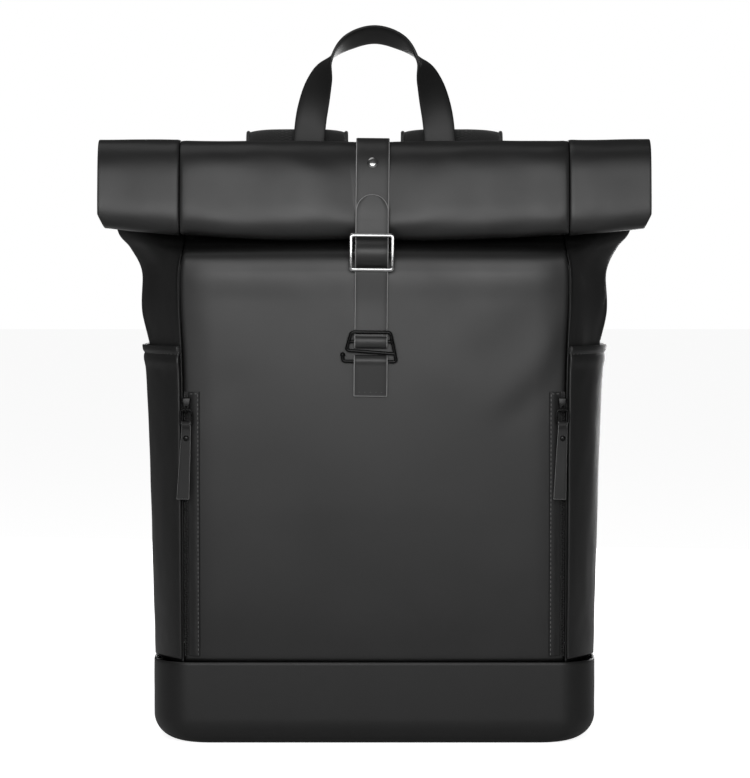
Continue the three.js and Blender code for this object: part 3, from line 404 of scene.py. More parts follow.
def side_point(round_it, up, inset):
    front = front_edge.at(up) + inward_of(front_edge, up, 1) * inset
    fold = side_fold.at(up)
    fold.x -= inset
    back = back_edge.at(up) + inward_of(back_edge, up, -1) * inset
    corner = corner_shape.at(up)
    rear = round_it > 0.5
    edge = back if rear else front
    bend = 2 / (corner.y if rear else corner.x)
    turn = math.pi * (1 - round_it if rear else round_it)
    rise = 2 - 2 * round_it if rear else 2 * round_it
    return Vector((
        edge.x + (fold.x - edge.x) * math.sin(turn) ** bend,
        fold.y + (edge.y - fold.y) * abs(math.cos(turn)) ** bend,
        lerp(edge.z, fold.z, rise),
    ))


def share_at_height(edge, height):
    """How far up an edge a height is met, found by halving."""
    low, high = 0.0, 1.0
    for _ in range(30):
        middle = (low + high) / 2
        if edge.at(middle).z < height:
            low = middle
        else:
            high = middle
    return low


def on_front(x, z, outward):
    up = share_at_height(front_edge, z)
    return front_point(x / front_edge.at(up).x, up, -outward)


def on_front_facing(x, z, outward):
    """A place on the front cloth and the direction away from it."""
    here = on_front(x, z, outward)
    return here, (on_front(x, z, outward + 1) - here).normalized()


# Meshes

def put_in_scene(name, data):
    piece = bpy.data.objects.new(name, data)
    bpy.context.scene.collection.objects.link(piece)
    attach(piece, "root")
    return piece


def finished(name, mesh, materials, replaces=(), recalculate=True):
    """Turns a bmesh in metres into a smooth piece of the bag."""
    if recalculate:
        bmesh.ops.recalc_face_normals(mesh, faces=mesh.faces)
    data = bpy.data.meshes.new(name)
    mesh.to_mesh(data)
    mesh.free()
    for material in materials:
        data.materials.append(material)
    data.shade_smooth()
    piece = put_in_scene(name, data)
    if replaces:
        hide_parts(*replaces)
    return piece


def grid(across, along, place, turned=False, merge=False):
    """A grid whose points are moved to place(across share, along share), in millimetres."""
    mesh = bmesh.new()
    mesh.loops.layers.uv.new("cloth")
    bmesh.ops.create_grid(mesh, x_segments=across, y_segments=along, size=0.5, calc_uvs=True)
    for vertex in mesh.verts:
        vertex.co = place(clamp(vertex.co.x + 0.5), clamp(vertex.co.y + 0.5)) * MM
    if merge:
        bmesh.ops.remove_doubles(mesh, verts=mesh.verts, dist=1e-6)
    if turned:
        bmesh.ops.reverse_faces(mesh, faces=mesh.faces)
    return mesh


def walled(piece, thickness, offset=-1, rim=0):
    wall = piece.modifiers.new("wall", "SOLIDIFY")
    wall.thickness = thickness * MM
    wall.offset = offset
    wall.use_even_offset = True
    wall.material_offset_rim = rim
    return piece


def softened(piece, width, segments=2, angle=50, material=-1):
    soft = piece.modifiers.new("soft edges", "BEVEL")
    soft.material = material
    soft.width = width * MM
    soft.segments = segments
    soft.limit_method = "ANGLE"
    soft.angle_limit = math.radians(angle)
    soft.harden_normals = False
    return piece


def cloth_piece(name, mesh, materials, nodes, thickness, rim=0):
    piece = finished(name, mesh, materials, nodes, recalculate=False)
    return walled(piece, thickness, rim=rim)


def wire_piece(name, points, radius, material, nodes=(), closed=False, sides=4):
    """A round wire along points in millimetres, made a mesh with its place in it."""
    curve = bpy.data.curves.new(name, "CURVE")
    curve.dimensions = "3D"
    curve.bevel_depth = radius * MM
    curve.bevel_resolution = sides
    curve.use_fill_caps = not closed
    spline = curve.splines.new("POLY")
    spline.points.add(len(points) - 1)
    for point, place in zip(spline.points, points):
        point.co = (*(place * MM), 1)
    spline.use_cyclic_u = closed
    drawn = bpy.data.objects.new(name, curve)
    bpy.context.scene.collection.objects.link(drawn)
    bpy.context.view_layer.update()
    mesh = bmesh.new()
    flat = drawn.to_mesh()
    mesh.from_mesh(flat)
    drawn.to_mesh_clear()
    bpy.data.objects.remove(drawn)
    bpy.data.curves.remove(curve)
    return finished(name, mesh, [material], nodes)


def rounded_route(corners, bend, closed=False, count=6):
    """Straight runs with rounded corners."""
    total = len(corners)
    route = []
    for i, corner in enumerate(corners):
        if not closed and i in (0, total - 1):
            route.append(corner.copy())
            continue
        before = corner + (corners[i - 1] - corner).normalized() * bend
        after = corner + (corners[(i + 1) % total] - corner).normalized() * bend
        for share in steps(0, 1, count):
            route.append(before.lerp(corner, share).lerp(corner.lerp(after, share), share))
    return route


def even_route(route, count):
    """The same route with count equal steps."""
    lengths = [0.0]
    for start, end in zip(route, route[1:]):
        lengths.append(lengths[-1] + (end - start).length)
    made = []
    i = 0
    for distance in steps(0, lengths[-1], count):
        while i < len(route) - 2 and lengths[i + 1] < distance:
            i += 1
        run = max(lengths[i + 1] - lengths[i], 1e-9)
        made.append(route[i].lerp(route[i + 1], clamp((distance - lengths[i]) / run)))
    return made


def route_length(route):
    return sum((end - start).length for start, end in zip(route, route[1:]))


def swollen(piece, pressure, most, is_sewn):
    """Foam swelling inside its cloth between the sewn points; most is how far a point may move."""
    sewn = piece.vertex_groups.new(name="sewn")
    sewn.add([vertex.index for vertex in piece.data.vertices if is_sewn(vertex.co / MM)], 1, "REPLACE")
    cloth = piece.modifiers.new("foam", "CLOTH")
    cloth.settings.mass = 0.001
    cloth.settings.quality = 5
    cloth.settings.vertex_group_mass = "sewn"
    cloth.settings.use_pressure = True
    cloth.settings.uniform_pressure_force = pressure
    cloth.settings.effector_weights.gravity = 0
    for frame_number in range(1, 21):
        bpy.context.scene.frame_set(frame_number)
    swelled = piece.evaluated_get(bpy.context.evaluated_depsgraph_get())
    moves = [moved.co - still.co for moved, still in zip(swelled.data.vertices, piece.data.vertices)]
    piece.modifiers.remove(cloth)
    piece.vertex_groups.remove(sewn)
    bpy.context.scene.frame_set(1)
    for vertex, move in zip(piece.data.vertices, moves):
        vertex.co += move * min(1, most * MM / max(move.length, 1e-9))


def stitches(name, rows, material, length=2.9, rest=1.1, radius=0.36):
    """Thread stitches along rows of (place, outward) pairs, half sunk in the cloth."""
    mesh = bmesh.new()
    for row in rows:
        places = [place for place, _outward in row]
        count = max(1, round(route_length(places) / (length + rest)))
        nodes = even_route(places, count)
        for i in range(count):
            start, end = nodes[i], nodes[i + 1]
            middle = (start + end) / 2
            along = (end - start).normalized()
            outward = row[min(len(row) - 1, round((i + 0.5) / count * (len(row) - 1)))][1]
            across = along.cross(outward).normalized()
            turn = Matrix((along, across, along.cross(across))).transposed().to_4x4()
            size = Matrix.Diagonal((length / 2, radius, radius, 1))
            move = Matrix.Translation(middle * MM) @ turn @ Matrix.Scale(MM, 4) @ size
            bmesh.ops.create_uvsphere(mesh, u_segments=6, v_segments=4, radius=1, matrix=move)
    return finished(name, mesh, [material])


# Materials

def add_node(tree, kind, inputs=None, **settings):
    made = tree.nodes.new(kind)
    for key, value in settings.items():
        setattr(made, key, value)
    for socket, value in (inputs or {}).items():
        if isinstance(value, bpy.types.NodeSocket):
            tree.links.new(value, made.inputs[socket])
        else:
            made.inputs[socket].default_value = value
    return made


def add_group(name, inputs, outputs):
    """An empty node group: inputs are (name, kind, value), outputs are (name, kind)."""
    group = bpy.data.node_groups.new(name, "ShaderNodeTree")
    for label, kind, value in inputs:
        socket = group.interface.new_socket(name=label, in_out="INPUT", socket_type=kind)
        if value is not None:
            socket.default_value = value
    for label, kind in outputs:
        group.interface.new_socket(name=label, in_out="OUTPUT", socket_type=kind)
    start = group.nodes.new("NodeGroupInput").outputs
    end = group.nodes.new("NodeGroupOutput").inputs
    return group, start, end


def grain_group():
    """The skin of coated cloth: a fine leathery grain on a slightly uneven, mottled face."""
    group, given, result = add_group(
        "coated grain",
        [("Vector", "NodeSocketVector", None), ("Grain", "NodeSocketFloat", 1700.0),
         ("Depth", "NodeSocketFloat", 0.1), ("Mottle", "NodeSocketFloat", 22.0)],
        [("Shade", "NodeSocketFloat"), ("Normal", "NodeSocketVector")],
    )
    cells = add_node(group, "ShaderNodeTexVoronoi", {"Vector": given["Vector"], "Scale": given["Grain"]},
                     feature="SMOOTH_F1")
    fine = add_node(group, "ShaderNodeTexNoise", {"Vector": given["Vector"], "Scale": given["Grain"],
                                                  "Detail": 3.0})
    wide = add_node(group, "ShaderNodeTexNoise", {"Vector": given["Vector"], "Scale": given["Mottle"],
                                                  "Detail": 4.0, "Roughness": 0.6})
    both = add_node(group, "ShaderNodeMath", {0: cells.outputs["Distance"], 1: fine.outputs["Fac"]},
                    operation="ADD")
    bump = add_node(group, "ShaderNodeBump", {"Strength": given["Depth"], "Distance": 0.0002,
                                              "Height": both.outputs[0]})
    group.links.new(wide.outputs["Fac"], result["Shade"])
    group.links.new(bump.outputs["Normal"], result["Normal"])
    return group


def weave_group():
    """Threads over and under each other, drawn on the cloth's own map."""
    group, given, result = add_group(
        "plain weave",
        [("Vector", "NodeSocketVector", None), ("Across", "NodeSocketFloat", 20.0),
         ("Along", "NodeSocketFloat", 80.0), ("Depth", "NodeSocketFloat", 0.5)],
        [("Thread", "NodeSocketFloat"), ("Normal", "NodeSocketVector")],
    )
    split = add_node(group, "ShaderNodeSeparateXYZ", {0: given["Vector"]})
    waves = []
    for axis, label in (("X", "Across"), ("Y", "Along")):
        scaled = add_node(group, "ShaderNodeMath", {0: split.outputs[axis], 1: given[label]},
                          operation="MULTIPLY")
        turned = add_node(group, "ShaderNodeMath", {0: scaled.outputs[0], 1: math.tau}, operation="MULTIPLY")
        waves.append(add_node(group, "ShaderNodeMath", {0: turned.outputs[0]}, operation="SINE"))
    woven = add_node(group, "ShaderNodeMath", {0: waves[0].outputs[0], 1: waves[1].outputs[0]},
                     operation="MULTIPLY")
    level = add_node(group, "ShaderNodeMapRange", {"Value": woven.outputs[0], "From Min": -1.0,
                                                   "From Max": 1.0})
    bump = add_node(group, "ShaderNodeBump", {"Strength": given["Depth"], "Distance": 0.0004,
                                              "Height": level.outputs[0]})
    group.links.new(level.outputs[0], result["Thread"])
    group.links.new(bump.outputs["Normal"], result["Normal"])
    return group


GRAIN = grain_group()
WEAVE = weave_group()


def add_material(name):
    material = bpy.data.materials.new(name)
    material.use_nodes = True
    tree = material.node_tree
    shader = tree.nodes["Principled BSDF"]
    return material, tree, shader


def grey(value, warmth=0.0):
    return (value * (1 + warmth), value, value * (1 - warmth * 0.6), 1)


def ramp(tree, shade, low, high):
    """A number between low and high by the shade."""
    made = add_node(tree, "ShaderNodeMapRange", {"Value": shade, "From Min": 0.3, "From Max": 0.7,
                                                 "To Min": low, "To Max": high})
    return made.outputs[0]


def tinted(tree, shade, dark, light):
    mix = add_node(tree, "ShaderNodeMix", {"Factor": shade, "A": dark, "B": light}, data_type="RGBA")
    return mix.outputs["Result"]


def coated_material(name, dark, light, rough, grain=1700.0, depth=0.1, sheen=0.0):
    """Matte rubbery coating on cloth."""
    material, tree, shader = add_material(name)
    place = add_node(tree, "ShaderNodeTexCoord")
    skin = add_node(tree, "ShaderNodeGroup", node_tree=GRAIN)
    skin.inputs["Grain"].default_value = grain
    skin.inputs["Depth"].default_value = depth
    tree.links.new(place.outputs["Object"], skin.inputs["Vector"])
    tree.links.new(tinted(tree, skin.outputs["Shade"], grey(dark), grey(light)), shader.inputs["Base Color"])
    tree.links.new(ramp(tree, skin.outputs["Shade"], rough - 0.03, rough + 0.03), shader.inputs["Roughness"])
    tree.links.new(skin.outputs["Normal"], shader.inputs["Normal"])
    shader.inputs["Specular IOR Level"].default_value = 0.5
    shader.inputs["Sheen Weight"].default_value = sheen
    shader.inputs["Sheen Roughness"].default_value = 0.5
    return material


def woven_material(name, dark, light, across, along, depth=0.6):
    material, tree, shader = add_material(name)
    place = add_node(tree, "ShaderNodeTexCoord")
    weave = add_node(tree, "ShaderNodeGroup", node_tree=WEAVE)
    weave.inputs["Across"].default_value = across
    weave.inputs["Along"].default_value = along
    weave.inputs["Depth"].default_value = depth
    tree.links.new(place.outputs["UV"], weave.inputs["Vector"])
    tree.links.new(tinted(tree, weave.outputs["Thread"], grey(dark), grey(light)),
                   shader.inputs["Base Color"])
    tree.links.new(weave.outputs["Normal"], shader.inputs["Normal"])
    shader.inputs["Roughness"].default_value = 0.82
    shader.inputs["Sheen Weight"].default_value = 0.25
    return material


def metal_material(name, dark, light, rough):
    """Cast and polished metal with faint handling marks."""
    material, tree, shader = add_material(name)
    place = add_node(tree, "ShaderNodeTexCoord")
    marks = add_node(tree, "ShaderNodeTexNoise", {"Vector": place.outputs["Object"], "Scale": 420.0,
                                                  "Detail": 5.0})
    tree.links.new(tinted(tree, marks.outputs["Fac"], grey(dark), grey(light)), shader.inputs["Base Color"])
    tree.links.new(ramp(tree, marks.outputs["Fac"], rough - 0.06, rough + 0.06), shader.inputs["Roughness"])
    shader.inputs["Metallic"].default_value = 1
    return material


def thread_material(name, value):
    material, tree, shader = add_material(name)
    place = add_node(tree, "ShaderNodeTexCoord")
    twist = add_node(tree, "ShaderNodeTexNoise", {"Vector": place.outputs["Object"], "Scale": 2600.0})
    bump = add_node(tree, "ShaderNodeBump", {"Strength": 0.5, "Distance": 0.0001,
                                             "Height": twist.outputs["Fac"]})
    tree.links.new(tinted(tree, twist.outputs["Fac"], grey(value * 0.7), grey(value)),
                   shader.inputs["Base Color"])
    tree.links.new(bump.outputs["Normal"], shader.inputs["Normal"])
    shader.inputs["Roughness"].default_value = 0.55
    return material


coated_cloth = coated_material("coated cloth", 0.013, 0.017, 0.4)
boot_cloth = coated_material("boot cloth", 0.01, 0.013, 0.46, grain=1500.0, depth=0.12)
flap_cloth = coated_material("flap cloth", 0.009, 0.012, 0.55)
strap_face = coated_material("strap face", 0.02, 0.026, 0.42, grain=2100.0, depth=0.12)
tab_face = coated_material("tab face", 0.007, 0.01, 0.62, grain=2100.0, depth=0.12)
# A light grey for the edges of straps and tabs: it paints the highlight that their edges catch
painted_edge_highlight = coated_material("strap edge painted highlight", 0.34, 0.44, 0.45, grain=900.0)
handle_cloth = coated_material("handle cloth", 0.011, 0.015, 0.5)
air_mesh = woven_material("padded mesh", 0.012, 0.024, 90.0, 100.0, 0.9)
webbing_weave = woven_material("webbing", 0.012, 0.026, 9.0, 150.0, 0.8)
silver_metal = metal_material("silver metal", 0.34, 0.44, 0.2)
dark_metal = metal_material("dark metal", 0.016, 0.028, 0.3)
black_plastic = coated_material("black plastic", 0.016, 0.02, 0.4, grain=2400.0, depth=0.06)
thread = thread_material("thread", 0.2)
zip_tape = woven_material("zip tape", 0.01, 0.02, 4.0, 200.0, 0.6)


# The shell of coated cloth

def rolled_edge(distance, width=2.6, depth=1.1):
    """How far the cloth turns in where it is sewn: distance is from the seam."""
    return depth * (1 - clamp(distance / width)) ** 2


def fold_ridge(x, z, start, end, width, height):
    """A soft fold along a straight line on the cloth, fading at both ends."""
    line = Vector(end) - Vector(start)
    away = Vector((x, z)) - Vector(start)
    share = away.dot(line) / line.length_squared
    off = abs(away.x * line.y - away.y * line.x) / line.length
    return height * math.exp(-(off / width) ** 2) * smooth(share, -0.25,
                                                           0.25) * (1 - smooth(share, 0.75, 1.25))


# Folds of the front cloth seen in the light: start and end are x and z, all in millimetres
FRONT_FOLDS = (
    # start, end, width, height
    ((82, 236), (138, 292), 12, 0.32),
    ((90, 226), (136, 264), 10, -0.22),
    ((64, 266), (132, 318), 14, -0.2),
    ((-30, 318), (-120, 336), 14, 0.3),
    ((20, 322), (118, 334), 14, 0.25),
    ((-134, 232), (-96, 262), 12, -0.2),
    ((-128, 86), (-70, 140), 24, 0.2),
    ((132, 96), (60, 150), 26, 0.2),
)


def front_relief(x, z, half):
    relief = 0.4 * ripple(x / 70, z / 110, 3.1) + 0.05 * ripple(x / 24, z / 40, 7.7)
    for start, end, width, height in FRONT_FOLDS:
        relief += fold_ridge(x, z, start, end, width, height)
    near_seam = half - abs(x)
    relief += 0.13 * math.exp(-near_seam / 5) * ripple(z / 3.4, 0.3 * x / half, 1.9)
    return relief * smooth(near_seam, 0, 14) - rolled_edge(near_seam)


def make_front_panel():
    seam = 1 - GAP / SEAM_HALF

    def place(a, s):
        across = seam * (2 * spread(a) - 1)
        here = front_edge.at(s)
        relief = front_relief(here.x * across, here.z, here.x * seam)
        foot = rolled_edge(here.z - SHELL_START, 2, 0.3)
        return front_point(across, s, foot - relief)

    mesh = grid(120, 170, place)
    piece = cloth_piece("front_cloth", mesh, [coated_cloth], ["front_panel"], FABRIC)


def spread(share, pull=0.35):
    """More rows of points near both ends than in the middle."""
    return share - pull / (2 * math.pi) * math.sin(2 * math.pi * share)


def side_relief(round_it, up, side):
    """Folds of the gusset: it is pressed in above the pockets and drawn out to the roll."""
    height = side_fold.at(up).z
    above = smooth(height, 250, 300)
    relief = 0.5 * ripple(round_it * 3.2, height / 60, 11 + side) + 0.2 * ripple(round_it * 9, height / 24,
                                                                                 5 + side)
    dent = 1.6 * above * hump(round_it, 0.27, 0.1) * (1 - smooth(height, 336, 372))
    crease = 1.5 * above * hump(round_it - (height - 300) / 260, 0.5, 0.045) * (1 - smooth(height, 330, 380))
    pleats = 0.9 * smooth(height, 330, 350) * math.sin(round_it * 34 + side) * smooth(round_it, 0.05, 0.2)
    edge = math.sin(math.pi * round_it)
    return (relief + crease + pleats) * edge - dent


def make_side_panel(hand, side):
    def place(a, s):
        round_it = clamp(a, 0.0005, 0.9995)
        inset = rolled_edge(min(a, 1 - a) * 150, 2.6, 0.9) - side_relief(round_it, s, side)
        point = side_point(round_it, s, inset * (1 - smooth(s, 0.93, 1)))
        return Vector((point.x * side, point.y, point.z))

    mesh = grid(64, 150, place, turned=side < 0)
    piece = cloth_piece(f"side_cloth_{hand}", mesh, [coated_cloth], [f"side_panel_{hand}"],
                        FABRIC)


def make_back_panel():
    """The padded back: one foam panel in mesh cloth, with two sewn channels."""
    top = BACK_TOP_ROW / LAST_ROW

    def place(a, s):
        turn = 2 * math.pi * a
        point = back_edge.at(clamp(s, 0.002, 0.998) * top)
        across = power(math.cos(turn), 0.32)
        through = power(math.sin(turn), 0.32)
        half = point.x - GAP
        x = across * half
        channels = hump(abs(x), 46, 4) + hump(point.z, 205, 4) * smooth(abs(x), 44, 48)
        full = BACK_PADDING / 2
        end = 1 - (1 - smooth(min(s, 1 - s), 0, 0.012)) * 0.6
        proud = BACK_PROUD * (1 - across ** 6) - full
        point.x = x
        outer = through * full * end
        if through > 0:
            outer -= 2.2 * min(1, channels)
        point.y += proud + outer
        return point

    mesh = grid(160, 110, place, merge=True)
    bmesh.ops.holes_fill(mesh, edges=[edge for edge in mesh.edges if edge.is_boundary], sides=0)
    piece = finished("back_padding", mesh, [air_mesh], ["back_panel"])
    middle = HALF_DEPTH - BACK_PROUD

    def is_sewn(point):
        at_side = abs(point.x) > HALF_WIDTH * BACK_EDGE[0][1] - 4
        at_channel = abs(abs(point.x) - 46) < 2.5 or (abs(point.z - 205) < 2.5 and abs(point.x) > 46)
        under_yoke = YOKE_FOOT - 4 < point.z
        return at_side or at_channel or under_yoke or point.y < middle or point.z < ANCHOR_HEAD + 8

    swollen(piece, BACK_PRESSURE, BACK_SWELL, is_sewn)


def make_top_cloth():
    foot = (BACK_TOP_ROW + 0.12) / LAST_ROW

    def place(a, s):
        up = lerp(foot, 1, s)
        point = back_edge.at(up)
        x = (point.x - GAP) * (2 * a - 1)
        relief = 0.8 * ripple(x / 40, s * 2.2, 21) + 0.5 * ripple(x / 14, s * 1.5, 23)
        inset = rolled_edge(min(a, 1 - a) * 290) - relief * smooth(min(a, 1 - a), 0,
                                                                   0.08) * math.sin(math.pi * s)
        point += inward_of(back_edge, up, -1) * inset
        point.x = x
        return point

    mesh = grid(90, 30, place, turned=True)
    piece = cloth_piece("top_cloth", mesh, [coated_cloth], ["top_fabric"], FABRIC)


def boot_outline(turn, inset):
    """One ring of the boot: turn runs from the middle of the front round to the back and on."""
    side = -1 if turn > 0.5 else 1
    share = 2 - 2 * turn if turn > 0.5 else 2 * turn
    seam = SEAM_HALF * 0.96
    fold = HALF_WIDTH - inset
    front = -(HALF_DEPTH - inset)
    back = HALF_DEPTH - inset
    place = HALF_DEPTH * SIDE_FOLD[0][3]
    rear = HALF_WIDTH * BACK_EDGE[0][1]
    if share < 0.2:
        return Vector((side * seam * share / 0.2, front, 0))
    if share < 0.5:
        angle = (share - 0.2) / 0.3 * math.pi / 2
        return Vector((
            side * (seam + (fold - seam) * math.sin(angle) ** 0.9),
            place + (front - place) * abs(math.cos(angle)) ** 0.9,
            0,
        ))
    if share < 0.85:
        angle = (0.85 - share) / 0.35 * math.pi / 2
        return Vector((
            side * (rear + (fold - rear) * math.sin(angle) ** 0.6),
            place + (back - place) * abs(math.cos(angle)) ** 0.6,
            0,
        ))
    return Vector((side * rear * (1 - share) / 0.15, back, 0))


def make_boot():
    def place(a, s):
        rim = boot_outline(a % 1, 0)
        if s < 0.12:
            share, under, radius = 0, 1, s / 0.12
            height = 0
        elif s < 0.5:
            share = (s - 0.12) / 0.38
            under = 1 - math.sin(share * math.pi / 2)
            radius = 1
            height = BOOT_CORNER_HEIGHT * (1 - math.cos(share * math.pi / 2))
        else:
            share = (s - 0.5) / 0.5
            under = 0
            radius = 1
            height = lerp(BOOT_CORNER_HEIGHT, BOOT_HEIGHT, share)
        turned_in = rolled_edge(BOOT_HEIGHT - height, 1.2, 0.4)
        uneven = 0.25 * ripple(rim.x / 40, height / 22 + rim.y / 50, 31) * smooth(height, 6, 30)
        size = 1 - (turned_in - uneven) / HALF_WIDTH
        return Vector((
            rim.x * radius * (1 - under * BOOT_CORNER_SIDE / HALF_WIDTH) * size,
            rim.y * radius * (1 - under * BOOT_CORNER_FRONT / HALF_DEPTH) - power(rim.y,
                                                                                  1) / HALF_DEPTH * turned_in,
            height,
        ))

    mesh = grid(240, 60, place, merge=True)
    piece = finished("boot", mesh, [boot_cloth], ["base_boot"])
    walled(piece, BOOT_WALL)


def roll_relief(angle, x, half):
    """The roll is soft: it gives a little under the strap and between its seams."""
    turn = angle % 360
    relief = 0.7 * ripple(x / 58, turn / 60, 41) + 0.3 * ripple(x / 24, turn / 34, 43)
    relief -= (1.3 * hump(x, CLOSURE_X, 15) + 1.6 * hump(x, CLOSURE_X, 44)) * hump(turn, 180, 110)
    relief += fold_ridge(x, turn, (-74, 128), (-18, 205), 16, 0.8)
    relief += fold_ridge(x, turn, (62, 140), (17, 210), 16, 0.6)
    near_seam = abs(half - abs(x))
    return relief * smooth(near_seam, 0, 12) - rolled_edge(near_seam, 1.8, 0.5)


def roll_layer(a, s, start, end, layer, proud, cut, half):
    angle = lerp(ROLL_START, ROLL_FINISH, s)
    x = lerp(start, end, a)
    relief = roll_relief(angle, x, half) * (1 - smooth(s, 0.5, 0.56)) * smooth(s, 0, 0.06)
    depth = layer * ROLL_SHEET / 2 - proud - (relief if layer == 0 else 0)
    point = roll_point(angle, depth, x)
    low = max(0, 1 - (point.z - ROLL_FOOT - ROLL_END_LIFT) / ROLL_CORNER_RISE)
    point.x -= math.copysign(cut * a * min(1, low), end) if cut else 0
    return point


def make_roll():
    seam = SEAM_HALF * FRONT_EDGE[LAST_ROW][1]
    wall = ROLL_SHEET / 2 - 0.15
    spans = [("roll_middle", "roll_centre", -seam + GAP / 2, seam - GAP / 2, 0, 0, 90)]
    for hand, side in HANDS:
        start, end = side * (seam + GAP / 2), side * ROLL_WIDTH / 2
        spans.append((f"roll_wing_{hand}", f"roll_end_{hand}", start, end, ROLL_END_PROUD, ROLL_CORNER_CUT,
                      30))
    for name, node, start, end, proud, cut, columns in spans:
        mesh = bmesh.new()
        for layer in (0, 1):
            sheet = grid(columns, 190, lambda a, s: roll_layer(a, s, start, end, layer, proud, cut, seam),
                         turned=end > 0)
            part = bpy.data.meshes.new("layer")
            sheet.to_mesh(part)
            sheet.free()
            mesh.from_mesh(part)
            bpy.data.meshes.remove(part)
        piece = cloth_piece(name, mesh, [coated_cloth], [node], wall)
        softened(piece, 0.5)


def pocket_point(round_it, rise, outward):
    up = lerp(0.004, MOUTH_ROW / LAST_ROW, rise)
    near = side_point(max(0.001, round_it - 0.002), up, 0)
    far = side_point(min(0.999, round_it + 0.002), up, 0)
    away = Vector((far.y - near.y, near.x - far.x, 0)).normalized()
    middle = math.sin(math.pi * round_it) ** 0.6
    fullness = middle * (POCKET_FULLNESS * (0.12 + 0.88 * rise) - side_slack.at(up).x)
    return side_point(round_it, up, 0) + away * (GAP + fullness + outward)


POCKET_RISE = height_at(SIDE_FOLD[MOUTH_ROW][0]) - BOOT_HEIGHT
HEM_START = 1 - HEM_HEIGHT / POCKET_RISE


def pocket_face(a, rise, side):
    """The outside of the pocket: below the hem it bulges a little, at the hem's stitching it is drawn in."""
    height = rise * POCKET_RISE
    round_it = lerp(0.025, 0.975, a)
    drawn_in = 0.8 * hump(rise, HEM_START, 0.008)
    slack = 0.6 * hump(rise, HEM_START - 0.04, 0.03)
    relief = 0.5 * ripple(a * 3, height / 60, 51 + side) + 0.2 * ripple(a * 11, height / 18, 53 + side)
    pucker = 0.12 * hump(rise, HEM_START - 0.015, 0.03) * ripple(a * 60, height / 5, 55)
    relief = (relief * smooth(rise, 0, 0.1) * (1 - smooth(rise, HEM_START - 0.05, HEM_START)) + pucker)
    edge = rolled_edge(min(a, 1 - a) * 150, 2.2, 0.8)
    hem = 0.5 * HEM_EXTRA * smooth(rise, HEM_START - 0.004, HEM_START + 0.008)
    return round_it, FABRIC + hem + slack + relief - drawn_in - edge


def make_pocket(hand, side):
    hem_turn = 14

    def place(a, s):
        rise = min(1.0, s / 0.9)
        round_it, outward = pocket_face(a, rise, side)
        if s > 0.9:
            turn = (s - 0.9) / 0.1
            down = max(0.0, turn - 0.4) / 0.6 * HEM_HEIGHT / POCKET_RISE
            curl = min(1.0, turn / 0.4) * math.pi
            outward = lerp(outward, outward - FABRIC, (1 - math.cos(curl)) / 2)
            point = pocket_point(round_it, 1 - down, outward)
            point.z += FABRIC * 0.4 * math.sin(curl)
        else:
            point = pocket_point(round_it, rise, outward)
        return Vector((point.x * side, point.y, point.z))

    mesh = grid(64, 120 + hem_turn, place, turned=side < 0)
    piece = cloth_piece(f"pocket_cloth_{hand}", mesh, [coated_cloth],
                        [f"side_pocket_{hand}"], 1.0)
    thread_row = []
    for a in steps(0.02, 0.98, 60):
        round_it, outward = pocket_face(a, HEM_START, side)
        here = pocket_point(round_it, HEM_START, outward)
        away = (pocket_point(round_it, HEM_START, outward + 1) - here).normalized()
        thread_row.append((Vector((here.x * side, here.y, here.z)), Vector((away.x * side, away.y, away.z))))
    row = stitches(f"pocket_stitching_{hand}", [thread_row], thread)


# The closure, drawn straight and then hung a little aslant

HANG = (
    Matrix.Translation((CLOSURE_X * MM, 0, BAG_HEIGHT * MM))
    @ Matrix.Rotation(math.radians(CLOSURE_LEAN), 4, "Y")
    @ Matrix.Translation((0, 0, -BAG_HEIGHT * MM))
)


def hung(piece):
    piece.data.transform(HANG)
    return piece


def strap_on_roll(angle, layers):
    point = roll_point(angle, -GAP - STRAP_THICKNESS / 2 - layers * LAYER, 0)
    return Vector((0, point.y, point.z))


HANG_START = strap_on_roll(STRAP_LEAVES, 0)


def strap_angle_at(height):
    above, below = 90.0, 270.0
    for _ in range(30):
        middle = (above + below) / 2
        if strap_on_roll(middle, 0).z > height:
            above = middle
        else:
            below = middle
    return above


def around_bar(bar, radius, start, end, count, loose=0):
    """Points round a bar: 0 is behind the bar and 90 above it; a loose wrap is taller."""
    return [
        Vector((0, bar.y + radius * math.cos(math.radians(angle)),
                bar.z + (radius + loose) * math.sin(math.radians(angle))))
        for angle in steps(start, end, count)
    ]


BUCKLE_HEAD = BUCKLE_FOOT + BUCKLE_HEIGHT
FRAME_Y = HANG_START.y - LAYER - STRAP_THICKNESS / 2 - GAP - BUCKLE_DEPTH / 2 - 0.5
TOP_BAR = Vector((0, FRAME_Y, BUCKLE_HEAD - BUCKLE_BAR / 2))
CENTRE_BAR = Vector((0, FRAME_Y + 0.6, (BUCKLE_HEAD + BUCKLE_FOOT) / 2))
BOTTOM_BAR = Vector((0, FRAME_Y, BUCKLE_FOOT + BUCKLE_BAR / 2))
WRAP = BAR_RADIUS + GAP + STRAP_THICKNESS / 2 + 0.05
OVER_WRAP = WRAP + LAYER + 0.05
UNDER_BAR = BUCKLE_DEPTH / 2 + GAP + STRAP_THICKNESS / 2 + 0.1
# How far the strap bulges out of the buckle, by height above the bar that it passes over
BAND_BULGE = ((7.4, 0.42), (5.4, 0.74), (2.8, 0.94), (0, 1), (-2.8, 0.94), (-5.4, 0.74), (-7.4, 0.42))
PANEL_FACE_Y = min(front_point(0, share_at_height(front_edge, z), 0).y for z in steps(LOOP_FOOT, HOOK_TOP, 9))
RETURN_Y = PANEL_FACE_Y - GAP - STRAP_THICKNESS / 2
HOOK_MIDDLE = Vector((0, RETURN_Y - LAYER - 0.4, HOOK_TOP - HOOK_MIDDLE_DROP))
HOOK_TOP_BAR = Vector((0, RETURN_Y - LAYER - WRAP - 0.1, HOOK_TOP))
HOOK_LOW_BAR = Vector((0, PANEL_FACE_Y - GAP - STRAP_THICKNESS - GAP - BAR_RADIUS - 0.1,
                       HOOK_TOP - HOOK_DROP))


